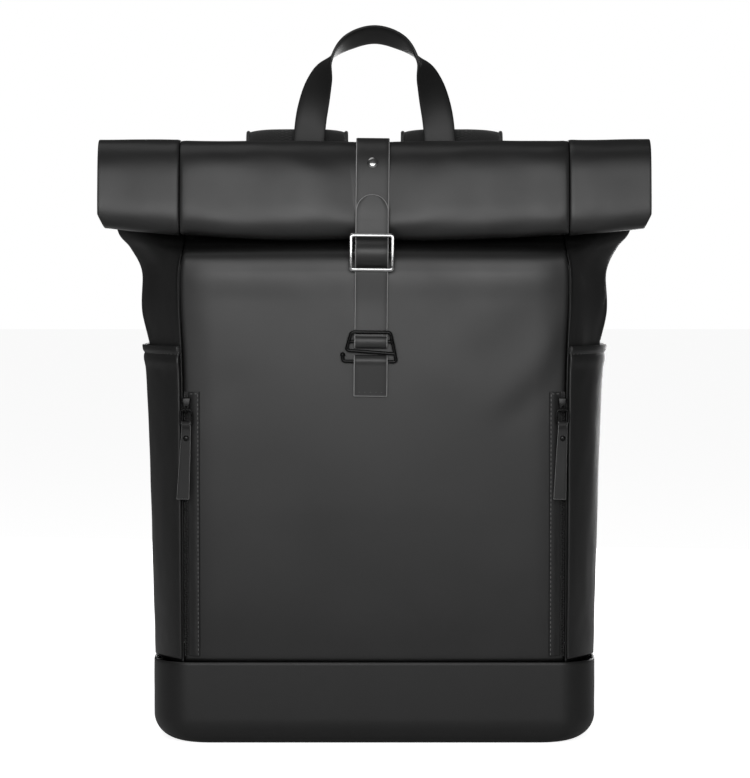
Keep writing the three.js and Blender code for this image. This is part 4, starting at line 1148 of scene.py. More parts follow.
def strap_piece(name, corners, width_at, node, count=220, thickness=STRAP_THICKNESS, columns=6, edge=0.62,
                face=strap_face):
    """A flat strap along a route in the side view, with soft edges in a light grey that paints the highlight they
    catch.
    """
    bent = Line(corners, by_distance=True)
    fine = [bent.at(share) for share in steps(0, 1, 12 * len(corners))]
    route = even_route(fine, count)
    total = route_length(route)

    def place(a, s):
        i = round(s * count)
        return Vector(((a - 0.5) * width_at(s * total, total), 0, 0)) + route[i]

    mesh = grid(columns, count, place, turned=True)
    piece = finished(name, mesh, [face, painted_edge_highlight], [node], recalculate=False)
    walled(piece, thickness, offset=0, rim=1)
    softened(piece, edge, material=1)
    return piece, route, total


def make_upper_strap():
    start = (BACK_TOP_ROW + 0.45) / LAST_ROW
    on_top = []
    for up in steps(start, 0.975, 6):
        outward = inward_of(back_edge, up, 1) * (GAP + STRAP_THICKNESS / 2 + 0.1)
        point = back_edge.at(up) + outward
        on_top.append(Vector((0, point.y, point.z)))
    corners = [
        *on_top,
        *[strap_on_roll(angle, 0) for angle in steps(52, STRAP_LEAVES, 24)],
        Vector((0, HANG_START.y, BUCKLE_HEAD - 3.5)),
        *around_bar(CENTRE_BAR, WRAP, 155, 345, 8),
        Vector((0, HANG_START.y + LAYER + 0.9, CENTRE_BAR.z + 7)),
    ]
    piece, _route, total = strap_piece("roll_strap", corners, lambda _d, _t: STRAP_WIDTH,
                                       "closure_strap_upper")
    hung(piece)


def make_lower_strap():
    corners = [
        *[strap_on_roll(strap_angle_at(z), 1) for z in steps(TONGUE_TOP, HANG_START.z, 8)],
        Vector((0, TOP_BAR.y + UNDER_BAR, TOP_BAR.z + 1.8)),
        Vector((0, TOP_BAR.y + UNDER_BAR, TOP_BAR.z - 1.6)),
        *[Vector((0, lerp(TOP_BAR.y + UNDER_BAR, CENTRE_BAR.y - OVER_WRAP, share), CENTRE_BAR.z + rise))
          for rise, share in BAND_BULGE],
        Vector((0, BOTTOM_BAR.y + UNDER_BAR, BOTTOM_BAR.z + 1.6)),
        Vector((0, BOTTOM_BAR.y + UNDER_BAR, BOTTOM_BAR.z - 1.8)),
        Vector((0, HOOK_TOP_BAR.y + WRAP, (BUCKLE_FOOT + HOOK_TOP) / 2)),
        *around_bar(HOOK_TOP_BAR, WRAP, 10, -70, 4),
        *around_bar(HOOK_MIDDLE, WRAP, 120, 350, 10, loose=1.7),
        Vector((0, RETURN_Y, HOOK_TOP + 0.5)),
        Vector((0, RETURN_Y, HOOK_TOP + 12)),
    ]

    def width_at(distance, _total):
        left = 1 - min(1, (distance + 0.15) / TONGUE_TIP)
        return TONGUE_WIDTH * math.sqrt(1 - left ** 2)

    piece, route, total = strap_piece("buckled_strap", corners, width_at, "closure_strap_lower", count=260)
    # A thin wire in the light edge colour round the tongue paints the highlight on its edges
    halves = [width_at(i / (len(route) - 1) * total, total) / 2 for i in range(len(route))]
    left = [point + Vector((-half, 0, 0)) for point, half in zip(route, halves)]
    right = [point + Vector((half, 0, 0)) for point, half in zip(route, halves)]
    edge = wire_piece("tongue_edge_highlight", left[::-1] + right, EDGE_HIGHLIGHT_RADIUS, painted_edge_highlight, sides=2)
    hung(piece)
    hung(edge)


def make_rivet():
    """A low polished dome set in the strap."""
    angle = strap_angle_at(RIVET_HEIGHT)
    here = strap_on_roll(angle, 0)
    slope = (strap_on_roll(angle + 2, 0) - strap_on_roll(angle - 2, 0)).normalized()
    outward = Vector((0, slope.z, -slope.y))
    mesh = bmesh.new()
    profile = ((0, 1.0), (0.35, 0.96), (0.62, 0.8), (0.84, 0.52), (0.96, 0.2), (1.0, 0.0), (0.94, -0.18),
               (0.6, -0.2))
    points = [mesh.verts.new((radius * RIVET_RADIUS * MM, 0, height * RIVET_DOME * MM)) for radius,
              height in profile]
    edges = [mesh.edges.new(pair) for pair in zip(points, points[1:])]
    bmesh.ops.spin(mesh, geom=points + edges, cent=(0, 0, 0), axis=(0, 0, 1), angle=math.tau, steps=32,
                   use_merge=True)
    bmesh.ops.remove_doubles(mesh, verts=mesh.verts, dist=1e-7)
    turn = outward.to_track_quat("Z", "Y").to_matrix().to_4x4()
    move = Matrix.Translation((here + outward * (STRAP_THICKNESS / 2 + GAP)) * MM)
    bmesh.ops.transform(mesh, matrix=move @ turn, verts=mesh.verts)
    hung(finished("strap_stud", mesh, [silver_metal], ["strap_rivet"]))


def frame_mesh(width, height, bar, depth, corner, soft):
    """A rounded rectangular frame standing in the XZ plane round the origin, in metres."""
    def place(a, s):
        loop = rounded_loop(width, height, corner, a)
        inner = rounded_loop(width - 2 * bar, height - 2 * bar, max(0.4, corner - bar), a)
        turn = math.tau * s
        middle = (loop + inner) / 2
        half = (loop - inner) / 2
        across = power(math.cos(turn), soft)
        through = power(math.sin(turn), soft)
        return middle + half * across + Vector((0, through * depth / 2, 0))

    return grid(168, 20, place, merge=True)


def rounded_loop(width, height, radius, share):
    """A point on a rounded rectangle in the XZ plane; each side and corner has an equal share of the loop."""
    x, z = width / 2 - radius, height / 2 - radius
    corners = ((x, -z, -90), (x, z, 0), (-x, z, 90), (-x, -z, 180))
    place = (share % 1) * 8
    part = min(7, int(place))
    along = place - part
    i = part // 2
    cx, cz, start = corners[i]
    if part % 2:
        angle = math.radians(start + 90 * along)
        return Vector((cx + radius * math.cos(angle), 0, cz + radius * math.sin(angle)))
    angle = math.radians(start)
    end = Vector((cx + radius * math.cos(angle), 0, cz + radius * math.sin(angle)))
    px, pz, _ = corners[i - 1]
    begin = Vector((px + radius * math.cos(angle), 0, pz + radius * math.sin(angle)))
    return begin.lerp(end, along)


def make_buckle():
    mesh = frame_mesh(BUCKLE_WIDTH, BUCKLE_HEIGHT, BUCKLE_BAR, BUCKLE_DEPTH, 2.7, 0.8)
    for vertex in mesh.verts:
        vertex.co.y += (BUCKLE_BOW * (2 * vertex.co.z / (BUCKLE_HEIGHT * MM)) ** 2 - BUCKLE_FORWARD) * MM
    bmesh.ops.translate(mesh, verts=mesh.verts, vec=Vector((0, FRAME_Y,
                                                            (BUCKLE_HEAD + BUCKLE_FOOT) / 2)) * MM)
    ends = BUCKLE_WIDTH / 2 - BUCKLE_BAR / 2
    turn = Matrix.Rotation(math.pi / 2, 4, "Y")
    bmesh.ops.create_cone(
        mesh, cap_ends=True, segments=24, radius1=BAR_RADIUS * MM, radius2=BAR_RADIUS * MM, depth=2 * ends * MM,
        matrix=Matrix.Translation(CENTRE_BAR * MM) @ turn,
    )
    hung(finished("strap_buckle", mesh, [silver_metal], ["buckle_frame"]))


def on_hook(x, drop):
    share = drop / HOOK_DROP
    return Vector((x, lerp(HOOK_TOP_BAR.y, HOOK_LOW_BAR.y, share), HOOK_TOP - drop))


def make_hook():
    """The gate hook: one bent wire with a hidden bar across it, on two short posts."""
    corners = [
        on_hook(HOOK_TIP_LEFT, HOOK_DROP - HOOK_TIP_RISE),
        on_hook(HOOK_TIP_LEFT, HOOK_DROP),
        on_hook(HOOK_RIGHT + 1.4, HOOK_DROP),
        on_hook(HOOK_HALF_TOP, 0),
        on_hook(-HOOK_HALF_TOP, 0),
        on_hook(HOOK_LEFT, HOOK_GATE_LEFT_DROP),
        on_hook(HOOK_RIGHT, HOOK_GATE_RIGHT_DROP),
    ]
    outline = wire_piece("hook_wire", rounded_route(corners, 2.2), BAR_RADIUS, dark_metal,
                         ["gate_hook"])
    reach = 0.97 * (HOOK_HALF_TOP - HOOK_LEFT) / 2
    bar = [HOOK_MIDDLE + Vector((side * reach, 0, 0)) for side in (-1, 1)]
    middle = wire_piece("hook_bar", bar, BAR_RADIUS, dark_metal)
    mesh = bmesh.new()
    for x in (lerp(-HOOK_HALF_TOP, HOOK_LEFT, 0.5), lerp(HOOK_HALF_TOP, HOOK_RIGHT, 0.34)):
        depth = HOOK_MIDDLE.y - HOOK_TOP_BAR.y + 1.4
        place = Vector((x, (HOOK_MIDDLE.y + HOOK_TOP_BAR.y) / 2, HOOK_MIDDLE.z))
        size = Matrix.Diagonal((2 * MM, depth * MM, 2 * MM, 1))
        bmesh.ops.create_cube(mesh, size=1, matrix=Matrix.Translation(place * MM) @ size)
    bmesh.ops.create_uvsphere(
        mesh, u_segments=20, v_segments=12, radius=1.75 * MM,
        matrix=Matrix.Translation(on_hook(HOOK_TIP_LEFT, HOOK_DROP - HOOK_TIP_RISE) * MM),
    )
    posts = finished("hook_posts", mesh, [dark_metal])
    for piece in (outline, middle, posts):
        hung(piece)


def make_anchor():
    radius = BAR_RADIUS + GAP + STRAP_THICKNESS / 2
    behind = HOOK_LOW_BAR.y + radius
    front = behind - LAYER
    head = HOOK_LOW_BAR.z - radius
    corners = [
        *[Vector((0, behind, z)) for z in steps(LOOP_FOOT, head, 5)],
        *around_bar(HOOK_LOW_BAR, radius, 0, 180, 8, loose=1.5),
        *[Vector((0, lerp(HOOK_LOW_BAR.y - radius, front, (i + 1) / 6), z))
          for i, z in enumerate(steps(head, LOOP_FOOT, 5))],
    ]
    piece, _route, total = strap_piece("anchor_strap", corners, lambda _d, _t: STRAP_WIDTH, "anchor_loop",
                                       count=110)
    half = STRAP_WIDTH / 2 - 2
    face = front - STRAP_THICKNESS / 2
    row = [(Vector((x, face, LOOP_FOOT + 3)), Vector((0, -1, 0))) for x in steps(-half, half, 10)]
    sewn = stitches("anchor_stitching", [row], thread)
    hung(piece)
    hung(sewn)


# The front zips

PLACKET_OUTER = SEAM_HALF * FRONT_EDGE[0][1] - PLACKET_INSET
CHAIN_INNER = PLACKET_OUTER + GAP
SLIDER_X = CHAIN_INNER + CHAIN_WIDTH / 2 - 0.4
SLIDER_Z = ZIP_HEAD - 4 - SLIDER_HEIGHT / 2
SLIDER_BACK = on_front(SLIDER_X - SLIDER_WIDTH / 2, SLIDER_Z + SLIDER_HEIGHT / 2,
                       2 * GAP + PLACKET_THICKNESS).y - 0.2
BAIL_RADIUS = 2.4
BAIL_WIRE = 0.7
BAIL_Z = SLIDER_Z - SLIDER_HEIGHT / 2 + 1.4
RING_Y = SLIDER_BACK - SLIDER_DEPTH - 0.9
RING_Z = BAIL_Z - RING_HALF_HEIGHT + 0.2
TAB_BAR = Vector((0, RING_Y, RING_Z - RING_HALF_HEIGHT))
TAB_WRAP = RING_WIRE + 2.4 * GAP + TAB_THICKNESS / 2


def flipped(vector, side):
    return Vector((vector.x * side, vector.y, vector.z))


def make_zip_flap(hand, side):
    """The flap beside the teeth: thin cloth, thicker at its folded edge, held by a row of thread."""
    inner = PLACKET_OUTER - PLACKET_WIDTH

    def place(a, s):
        x = lerp(inner, PLACKET_OUTER, a)
        z = lerp(ZIP_FOOT, ZIP_HEAD, s)
        rise = PLACKET_THICKNESS * (1 - 0.7 * smooth(a, 0.2, 1.15))
        rise *= 1 - 0.5 * rolled_edge(PLACKET_WIDTH * a, 1.2, 1)
        rise += 0.14 * ripple(z / 7, a * 2, 61 + side) + 0.1 * hump(a, 0.5, 0.2)
        return flipped(on_front(x, z, GAP + rise), side)

    mesh = grid(10, 150, place, turned=side < 0)
    piece = cloth_piece(f"zip_flap_{hand}", mesh, [flap_cloth], [f"zip_placket_{hand}"], 0.7)
    softened(piece, 0.22)
    rows = []
    row = []
    for z in steps(ZIP_FOOT, ZIP_HEAD - 1, 50):
        here, outward = on_front_facing(inner + 1.2, z, GAP + 0.98 * PLACKET_THICKNESS)
        row.append((flipped(here, side), flipped(outward, side)))
    rows.append(row)
    top = []
    for x in steps(inner + 1, PLACKET_OUTER - 0.5, 6):
        here, outward = on_front_facing(x, ZIP_HEAD - 1.4, GAP + 0.9 * PLACKET_THICKNESS)
        top.append((flipped(here, side), flipped(outward, side)))
    rows.append(top)
    stitches(f"zip_stitching_{hand}", rows, thread, length=2.2, rest=1.0, radius=0.3)


def make_zip_chain(hand, side):
    """The woven tape and its teeth, which mesh from both sides in turn."""
    def place(a, s):
        return flipped(on_front(lerp(CHAIN_INNER, CHAIN_INNER + CHAIN_WIDTH, a),
                                lerp(ZIP_FOOT, ZIP_HEAD, s), GAP + 0.5),
                       side)

    mesh = grid(2, 60, place, turned=side < 0)
    tape = finished(f"zip_tape_{hand}", mesh, [zip_tape], [f"zip_chain_{hand}"], recalculate=False)
    walled(tape, 0.4)
    teeth = bmesh.new()
    pitch = 1.3
    middle = CHAIN_INNER + CHAIN_WIDTH / 2
    for i in range(int((ZIP_HEAD - ZIP_FOOT - 6) / pitch)):
        reach = 0.32 if i % 2 else -0.32
        here, outward = on_front_facing(middle + reach, ZIP_FOOT + 1 + i * pitch, GAP + 0.8)
        turn = flipped(outward, side).to_track_quat("Z", "X").to_matrix().to_4x4()
        size = Matrix.Diagonal((0.86 * MM, 1.7 * MM, 0.9 * MM, 1))
        bmesh.ops.create_cube(teeth, size=1, matrix=Matrix.Translation(flipped(here,
                                                                               side) * MM) @ turn @ size)
    bmesh.ops.bevel(teeth, geom=teeth.edges[:], offset=0.18 * MM, affect="EDGES", segments=1, profile=0.5,
                    material=-1)
    finished(f"zip_teeth_{hand}", teeth, [dark_metal])


def make_zip_slider(hand, side):
    """The slider's body narrows towards its foot; its bail carries the ring."""
    mesh = bmesh.new()
    centre = Vector((SLIDER_X * side, SLIDER_BACK - SLIDER_DEPTH / 2, SLIDER_Z))
    size = Matrix.Diagonal((SLIDER_WIDTH * MM, SLIDER_DEPTH * MM, SLIDER_HEIGHT * MM, 1))
    bmesh.ops.create_cube(mesh, size=1, matrix=Matrix.Translation(centre * MM) @ size)
    for vertex in mesh.verts:
        if vertex.co.z < SLIDER_Z * MM:
            vertex.co.x = lerp(centre.x * MM, vertex.co.x, 0.7)
    bmesh.ops.bevel(mesh, geom=mesh.edges[:], offset=0.75 * MM, affect="EDGES", segments=3, profile=0.5,
                    material=-1)
    finished(f"zip_body_{hand}", mesh, [dark_metal], [f"zip_slider_{hand}"])
    hold = Vector((SLIDER_X * side, SLIDER_BACK - SLIDER_DEPTH + 0.2, BAIL_Z))
    bail = [
        hold + Vector((0, BAIL_RADIUS * math.cos(turn), BAIL_RADIUS * math.sin(turn)))
        for turn in steps(0, math.tau, 32)[:-1]
    ]
    wire_piece(f"zip_bail_{hand}", bail, BAIL_WIRE, dark_metal, closed=True)
    bend = 2 / RING_SQUARENESS
    ring = [
        Vector((
            SLIDER_X * side + RING_HALF_WIDTH * power(math.cos(turn), bend),
            RING_Y,
            RING_Z + RING_HALF_HEIGHT * power(math.sin(turn), bend),
        ))
        for turn in steps(0, math.tau, 64)[:-1]
    ]
    wire_piece(f"pull_ring_{hand}", ring, RING_WIRE, dark_metal, [f"zip_ring_{hand}"],
               closed=True)


def make_pull_tab(hand, side):
    """A leathery tab folded through the ring and riveted; its foot curls away from the bag."""
    foot = TAB_BAR.z - TAB_LENGTH
    layers = (TAB_THICKNESS + GAP) / 2
    head = TAB_BAR.z - 3
    curl = 2.2 if side < 0 else 3.2

    def curled(y, z):
        low = clamp((head - z) / (head - foot))
        return Vector((0, y - curl * low ** 2.2 + 0.4 * math.sin(low * 5), z))

    corners = [
        *[curled(TAB_BAR.y + layers, z) for z in steps(foot, head, 8)],
        *around_bar(TAB_BAR, TAB_WRAP, 0, 180, 8),
        *[curled(TAB_BAR.y - layers, z) for z in steps(head, foot, 8)],
    ]

    def width_at(distance, total):
        down = 2 * abs(distance / total - 0.5)
        return TAB_WIDTH + TAB_FLARE * down ** 0.8

    piece, _route, _total = strap_piece(f"pull_leather_{hand}", corners, width_at, f"pull_tab_{hand}",
                                        count=120, thickness=TAB_THICKNESS, columns=4, edge=0.12, face=tab_face)
    piece.data.transform(Matrix.Translation((SLIDER_X * side * MM, 0, 0)))
    for vertex in piece.data.vertices:
        low = clamp((head * MM - vertex.co.z) / ((head - foot) * MM))
        vertex.co.x += TAB_SWING * MM * low
    mesh = bmesh.new()
    middle = Vector((SLIDER_X * side, TAB_BAR.y, TAB_BAR.z - TAB_RIVET_DROP))
    half = TAB_THICKNESS + GAP
    for way in (-1, 1):
        bmesh.ops.create_uvsphere(
            mesh, u_segments=24, v_segments=12, radius=TAB_RIVET_RADIUS * MM,
            matrix=Matrix.Translation((middle + Vector((0, way * half, 0))) * MM) @ Matrix.Diagonal((1, 0.4,
                                                                                                     1, 1)),
        )
    finished(f"pull_stud_{hand}", mesh, [dark_metal], [f"pull_rivet_{hand}"])


# What the bag is carried by

BACK_FACE = BACK_PROUD + max(back_edge.at(up).y for up in steps(0, BACK_TOP_ROW / LAST_ROW, 60))
HANDLE_LEG_Y = BACK_FACE + GAP + HANDLE_THICKNESS / 2
SHOULDER_INNER_Y = BACK_FACE + HANDLE_THICKNESS + 2 * GAP
YOKE_RAISE = HANDLE_THICKNESS + SHOULDER_THICKNESS + 2 * GAP
# The handle's middle line as shares of half its spread and of its rise; turn is how far it has turned
HANDLE_ROUTE = (
    # out, up, turn
    (1.01, 0.0, 0.0),
    (1.01, 0.3, 0.0),
    (0.98, 0.5, 0.03),
    (0.93, 0.61, 0.16),
    (0.84, 0.735, 0.4),
    (0.7, 0.85, 0.68),
    (0.4, 0.957, 0.93),
    (0.0, 1.0, 1.0),
)


def make_handle():
    """A stiffened band: flat legs that turn until the arch lies on edge-on hands."""
    rise = HANDLE_TOP - HANDLE_THICKNESS / 2 - HANDLE_FOOT
    half = [(Vector((-out * HANDLE_SPREAD / 2, HANDLE_LEG_Y - 5 * turn, HANDLE_FOOT + up * rise)), turn)
            for out, up, turn in HANDLE_ROUTE]
    rows = half + [(flipped(place, -1), turn) for place, turn in reversed(half[:-1])]
    route = Line([place for place, _turn in rows], by_distance=True)
    turning = Line([(turn, 0, 0) for _place, turn in rows])

    def place(a, s):
        around = math.tau * a
        here = route.at(s)
        along = route.heading(s)
        angle = clamp(turning.at(s).x) * math.pi / 2
        side = 1 if s < 0.5 else -1
        tilt = math.radians(HANDLE_TILT) * math.sin(angle)
        across = Vector((side * math.cos(angle), -math.sin(angle) * math.cos(tilt),
                         math.sin(angle) * math.sin(tilt)))
        across = (across - along * across.dot(along)).normalized()
        out = across.cross(along).normalized()
        flat = power(math.cos(around), 0.3)
        thick = power(math.sin(around), 0.3)
        crown = 1 - 0.3 * abs(flat) ** 4
        return here + across * (flat * HANDLE_WIDTH / 2) + out * (thick * crown * HANDLE_THICKNESS / 2)

    mesh = grid(56, 180, place, merge=True)
    bmesh.ops.holes_fill(mesh, edges=[edge for edge in mesh.edges if edge.is_boundary], sides=0)
    finished("grab_handle", mesh, [handle_cloth], ["handle"])


# The shoulder strap's middle line, as shares of its reach and of its rise above its foot
SHOULDER_ROUTE = (
    # reach, height
    (0.0, 0.7),
    (0.0, 0.78),
    (0.0, 0.87),
    (0.06, 0.945),
    (0.32, 1.0),
    (0.68, 0.965),
    (0.88, 0.86),
    (0.98, 0.68),
    (0.94, 0.48),
    (0.76, 0.26),
    (0.45, 0.08),
    (0.24, 0.0),
)
shoulder_line = Line([
    (0, SHOULDER_INNER_Y + SHOULDER_THICKNESS / 2 + reach * SHOULDER_REACH,
     lerp(SHOULDER_FOOT, SHOULDER_TOP - SHOULDER_THICKNESS / 2, height))
    for reach, height in SHOULDER_ROUTE
], by_distance=True)


def shoulder_frame(s):
    """The middle, width and thickness direction of the shoulder strap at a share of its length."""
    here = shoulder_line.at(s)
    along = shoulder_line.heading(s)
    width = lerp(SHOULDER_WIDTH, SHOULDER_TIP_WIDTH, max(0.0, (s - 0.45) / 0.55))
    if s > 0.94:
        width *= math.sqrt(max(0.0, 1 - ((s - 0.94) / 0.06) ** 2 * 0.5))
    middle = lerp(SHOULDER_PLACE, WEBBING_PLACE, smooth(s, 0.5, 0.97))
    return here, along, width, middle


def make_shoulder_strap(hand, side):
    """Foam in mesh cloth with a bound edge all round."""
    def place(a, s):
        here, along, width, middle = shoulder_frame(s)
        around = math.tau * a
        flat = power(math.cos(around), 0.55)
        thick = power(math.sin(around), 0.8)
        end = 0.35 + 0.65 * smooth(min(s, 1 - s), 0, 0.02)
        soft = SHOULDER_THICKNESS / 2 * thick * (1 - 0.3 * abs(flat) ** 5) * end
        soft += 0.25 * ripple(flat * 2, s * 16, 71 + side) * (1 - abs(flat))
        return Vector((side * (middle + flat * width / 2), here.y + along.z * soft, here.z - along.y * soft))

    mesh = grid(44, 130, place, merge=True)
    bmesh.ops.holes_fill(mesh, edges=[edge for edge in mesh.edges if edge.is_boundary], sides=0)
    piece = finished(f"shoulder_pad_{hand}", mesh, [air_mesh], [f"shoulder_strap_{hand}"])
    inner_leg = SHOULDER_INNER_Y + SHOULDER_THICKNESS + 2

    def is_sewn(point):
        under_yoke = YOKE_FOOT - 6 < point.z < YOKE_HEAD + 6 and point.y < inner_leg
        return under_yoke or point.z < SHOULDER_FOOT + 14

    swollen(piece, SHOULDER_PRESSURE, SHOULDER_SWELL, is_sewn)
    bound = []
    for s in steps(0.02, 1, 90):
        here, _along, width, middle = shoulder_frame(s)
        bound.append(Vector((side * (middle + (width / 2 - 0.4)), here.y, here.z)))
    for s in steps(1, 0.02, 90):
        here, _along, width, middle = shoulder_frame(s)
        bound.append(Vector((side * (middle - (width / 2 - 0.4)), here.y, here.z)))
    wire_piece(f"shoulder_binding_{hand}", bound, 1.5, webbing_weave)


def make_yoke():
    """The band of cloth that covers the heads of the handle and of both shoulder straps."""
    half = SHOULDER_PLACE + SHOULDER_WIDTH / 2 + 12

    def raised(x):
        away = abs(abs(x) - SHOULDER_PLACE) - SHOULDER_WIDTH / 2
        return smooth(-away, -11, -1.5) * YOKE_RAISE

    def place(a, s):
        x = lerp(-half, half, a)
        z = lerp(YOKE_FOOT, YOKE_HEAD, s)
        relief = 0.25 * ripple(x / 18, z / 20, 81) - rolled_edge(min(z - YOKE_FOOT, YOKE_HEAD - z), 1.5, 0.7)
        return Vector((x, BACK_FACE + GAP + YOKE_THICKNESS + raised(x) + 0.1 + relief, z))

    mesh = grid(150, 30, place, turned=True)
    piece = cloth_piece("yoke_cloth", mesh, [coated_cloth], ["strap_yoke"], YOKE_THICKNESS)
    rows = []
    for z in (YOKE_FOOT + 3, YOKE_HEAD - 3, YOKE_HEAD - 6):
        rows.append([(Vector((x, BACK_FACE + GAP + YOKE_THICKNESS + raised(x) + 0.1, z)), Vector((0, 1, 0)))
                     for x in steps(-half + 2, half - 2, 160)])
    sewn = stitches("yoke_stitching", rows, thread)


SHOULDER_END = shoulder_line.at(1)
ADJUSTER_Y = SHOULDER_END.y
LOOP_WRAP = math.hypot(ADJUSTER_BAR, ADJUSTER_DEPTH) / 2 + GAP + WEBBING_THICKNESS / 2
ADJUSTER_TOP = Vector((0, ADJUSTER_Y, SHOULDER_FOOT - GAP - LOOP_WRAP - WEBBING_THICKNESS - STRAP_LOOP_DROP))
ADJUSTER_MIDDLE = Vector((0, ADJUSTER_Y, ADJUSTER_TOP.z + ADJUSTER_BAR / 2 - ADJUSTER_HEIGHT / 2))
WEBBING_WRAP = ADJUSTER_DEPTH / 2 + GAP + WEBBING_THICKNESS / 2 + 0.1


def webbing_piece(name, corners, node, side, count):
    bent = Line(corners, by_distance=True)
    route = even_route([bent.at(share) for share in steps(0, 1, 12 * len(corners))], count)

    def place(a, s):
        ridge = 0.12 * math.cos(a * 12 * math.pi)
        return route[round(s * count)] + Vector(((a - 0.5) * WEBBING_WIDTH + side * WEBBING_PLACE, ridge, 0))

    mesh = grid(18, count, place, turned=True)
    piece = finished(name, mesh, [webbing_weave], [node], recalculate=False)
    walled(piece, WEBBING_THICKNESS, offset=0)
    softened(piece, 0.4)


def make_webbing(hand, side):
    head = SHOULDER_FOOT - 2 * GAP - 1
    loop = [
        *[Vector((0, ADJUSTER_Y + LOOP_WRAP, z)) for z in steps(head, ADJUSTER_TOP.z, 2)],
        *around_bar(ADJUSTER_TOP, LOOP_WRAP, -20, -160, 6),
        *[Vector((0, ADJUSTER_Y - LOOP_WRAP, z)) for z in steps(ADJUSTER_TOP.z, head, 2)],
    ]
    webbing_piece(f"webbing_loop_{hand}", loop, f"strap_loop_{hand}", side, 40)
    foot_y = BACK_FACE + 2 * GAP + ANCHOR_THICKNESS + WEBBING_THICKNESS / 2
    under = ADJUSTER_MIDDLE.z - ADJUSTER_HEIGHT / 2
    run = [
        Vector((0, foot_y, WEBBING_FOOT)),
        Vector((0, foot_y, ANCHOR_HEAD)),
        *[Vector((0, lerp(BACK_FACE + ANCHOR_THICKNESS + 2, ADJUSTER_Y - WEBBING_WRAP - 0.3, (i + 1) / 4), z))
          for i, z in enumerate(steps(ANCHOR_HEAD + 12, under - 3, 3))],
        Vector((0, ADJUSTER_Y - WEBBING_WRAP, under + 1)),
        *around_bar(ADJUSTER_MIDDLE, WEBBING_WRAP, 180, 0, 8),
        Vector((0, ADJUSTER_Y + WEBBING_WRAP, under)),
        Vector((0, ADJUSTER_Y + WEBBING_WRAP + 1, ADJUSTER_MIDDLE.z - WEBBING_TAIL)),
    ]
    webbing_piece(f"webbing_run_{hand}", run, f"strap_webbing_{hand}", side, 200)


def make_adjuster(hand, side):
    mesh = frame_mesh(ADJUSTER_WIDTH, ADJUSTER_HEIGHT, ADJUSTER_BAR, ADJUSTER_DEPTH, 3.2, 0.6)
    place = Vector((side * WEBBING_PLACE, ADJUSTER_Y, ADJUSTER_MIDDLE.z)) * MM
    bmesh.ops.translate(mesh, verts=mesh.verts, vec=place)
    radius = (ADJUSTER_DEPTH / 2 - 0.02) * MM
    bmesh.ops.create_cone(
        mesh, cap_ends=True, segments=20, radius1=radius, radius2=radius, depth=(ADJUSTER_WIDTH - ADJUSTER_BAR) * MM,
        matrix=Matrix.Translation(place) @ Matrix.Rotation(math.pi / 2, 4, "Y"),
    )
    finished(f"adjuster_{hand}", mesh, [black_plastic], [f"strap_adjuster_{hand}"])


def make_anchor_patch(hand, side):
    """The patch sewn across the boot's seam, with a stitched box and one diagonal."""
    width, height = WEBBING_WIDTH + 9, ANCHOR_HEAD - WEBBING_FOOT + 4
    centre = Vector((side * WEBBING_PLACE, BACK_FACE + GAP + ANCHOR_THICKNESS / 2,
                     (ANCHOR_HEAD + WEBBING_FOOT) / 2 - 4))
    mesh = bmesh.new()
    size = Matrix.Diagonal((width * MM, ANCHOR_THICKNESS * MM, height * MM, 1))
    bmesh.ops.create_cube(mesh, size=1, matrix=Matrix.Translation(centre * MM) @ size)
    bmesh.ops.bevel(mesh, geom=mesh.edges[:], offset=0.7 * MM, affect="EDGES", segments=3, profile=0.5,
                    material=-1)
    piece = finished(f"anchor_patch_{hand}", mesh, [strap_face], [f"webbing_anchor_{hand}"])
    face = BACK_FACE + 2 * GAP + ANCHOR_THICKNESS + WEBBING_THICKNESS
    x, low, high = WEBBING_WIDTH / 2 - 3, WEBBING_FOOT + 3, ANCHOR_HEAD - 4
    corners = [(-x, low), (x, low), (x, high), (-x, high), (-x, low), (x, high)]
    row = []
    for (ax, az), (bx, bz) in zip(corners, corners[1:]):
        for share in steps(0, 1, 8):
            row.append((Vector((centre.x + lerp(ax, bx, share), face, lerp(az, bz, share))),
                        Vector((0, 1, 0))))
    stitches(f"anchor_thread_{hand}", [row], thread)
    return piece


# The studio

def area_light(name, place, aim, width, height, power_in_watts):
    data = bpy.data.lights.new(name, "AREA")
    data.shape = "RECTANGLE"
    data.size = width
    data.size_y = height
    data.energy = power_in_watts
    lamp = bpy.data.objects.new(name, data)
    lamp.location = place
    lamp.rotation_euler = (Vector(aim) - Vector(place)).to_track_quat("-Z", "Y").to_euler()
    bpy.context.scene.collection.objects.link(lamp)


def make_camera():
    data = bpy.data.cameras.new("camera")
    data.lens = LENS
    data.clip_start = 0.05
    camera = bpy.data.objects.new("camera", data)
    front = -HALF_DEPTH * MM
    camera.location = (AIM_SIDE, front - CAMERA_DISTANCE, CAMERA_HEIGHT)
    aim = Vector((AIM_SIDE, front, AIM_HEIGHT))
    camera.rotation_euler = (aim - camera.location).to_track_quat("-Z", "Y").to_euler()
    bpy.context.scene.collection.objects.link(camera)
    bpy.context.scene.camera = camera


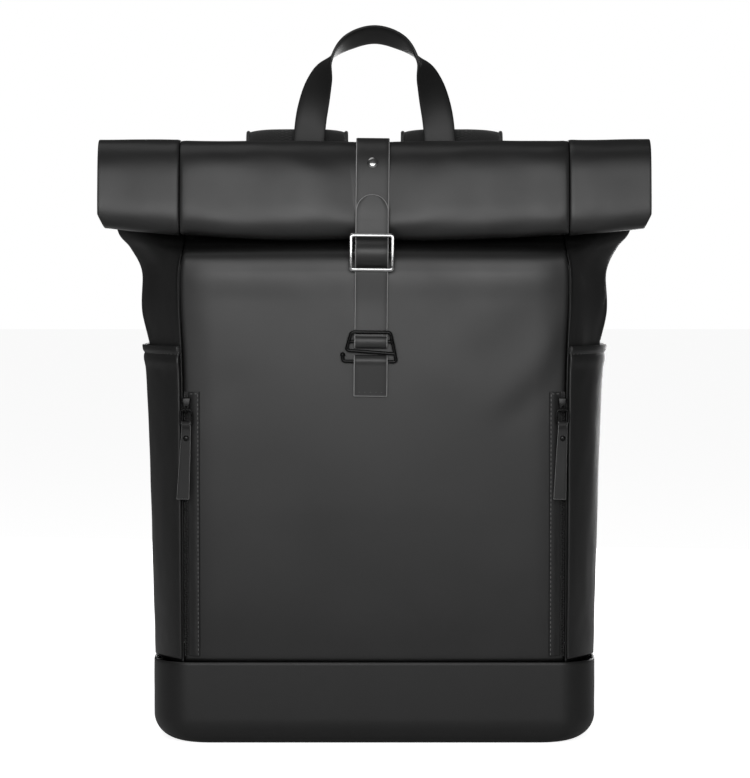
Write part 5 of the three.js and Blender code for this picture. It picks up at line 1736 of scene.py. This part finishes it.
def make_floor():
    mesh = bmesh.new()
    bmesh.ops.create_grid(mesh, x_segments=1, y_segments=1, size=12)
    data = bpy.data.meshes.new("floor")
    mesh.to_mesh(data)
    mesh.free()
    material, tree, shader = add_material("floor")
    shader.inputs["Base Color"].default_value = grey(0.86)
    shader.inputs["Roughness"].default_value = 0.9
    shader.inputs["Specular IOR Level"].default_value = 0.1
    seen = add_node(tree, "ShaderNodeLightPath")
    glow = add_node(tree, "ShaderNodeMath", {0: seen.outputs["Is Camera Ray"], 1: 0.88}, operation="MULTIPLY")
    shader.inputs["Emission Color"].default_value = grey(1)
    tree.links.new(glow.outputs[0], shader.inputs["Emission Strength"])
    data.materials.append(material)
    floor = bpy.data.objects.new("floor", data)
    bpy.context.scene.collection.objects.link(floor)


def make_world():
    """White to the eye, and a dim even light on the bag."""
    world = bpy.data.worlds.new("studio")
    world.use_nodes = True
    tree = world.node_tree
    tree.nodes.clear()
    seen = add_node(tree, "ShaderNodeBackground", {"Color": grey(1), "Strength": 1.0})
    lit = add_node(tree, "ShaderNodeBackground", {"Color": grey(1), "Strength": 0.08})
    path = add_node(tree, "ShaderNodeLightPath")
    both = add_node(tree, "ShaderNodeMixShader", {0: path.outputs["Is Camera Ray"], 1: lit.outputs[0],
                                                 2: seen.outputs[0]})
    add_node(tree, "ShaderNodeOutputWorld", {"Surface": both.outputs[0]})
    bpy.context.scene.world = world
    bpy.context.scene.view_settings.view_transform = "Standard"


def make_studio():
    make_floor()
    make_world()
    area_light("front softbox", (-0.04, -1.3, 0.53), (0, 0, 0.38), 0.9, 0.42, 7.6)
    area_light("rear softbox", (0.3, 1.5, 0.3), (0, 0, 0.25), 1.3, 0.5, 9)
    area_light("top softbox", (-0.6, -0.3, 2.2), (0, 0, 0), 1.6, 1.6, 7)


make_camera()
make_front_panel()
make_back_panel()
make_top_cloth()
make_boot()
make_roll()
make_upper_strap()
make_lower_strap()
make_rivet()
make_buckle()
make_hook()
make_anchor()
make_handle()
make_yoke()
for hand_name, hand_side in HANDS:
    make_side_panel(hand_name, hand_side)
    make_pocket(hand_name, hand_side)
    make_zip_flap(hand_name, hand_side)
    make_zip_chain(hand_name, hand_side)
    make_zip_slider(hand_name, hand_side)
    make_pull_tab(hand_name, hand_side)
    make_shoulder_strap(hand_name, hand_side)
    make_webbing(hand_name, hand_side)
    make_adjuster(hand_name, hand_side)
    make_anchor_patch(hand_name, hand_side)
make_studio()
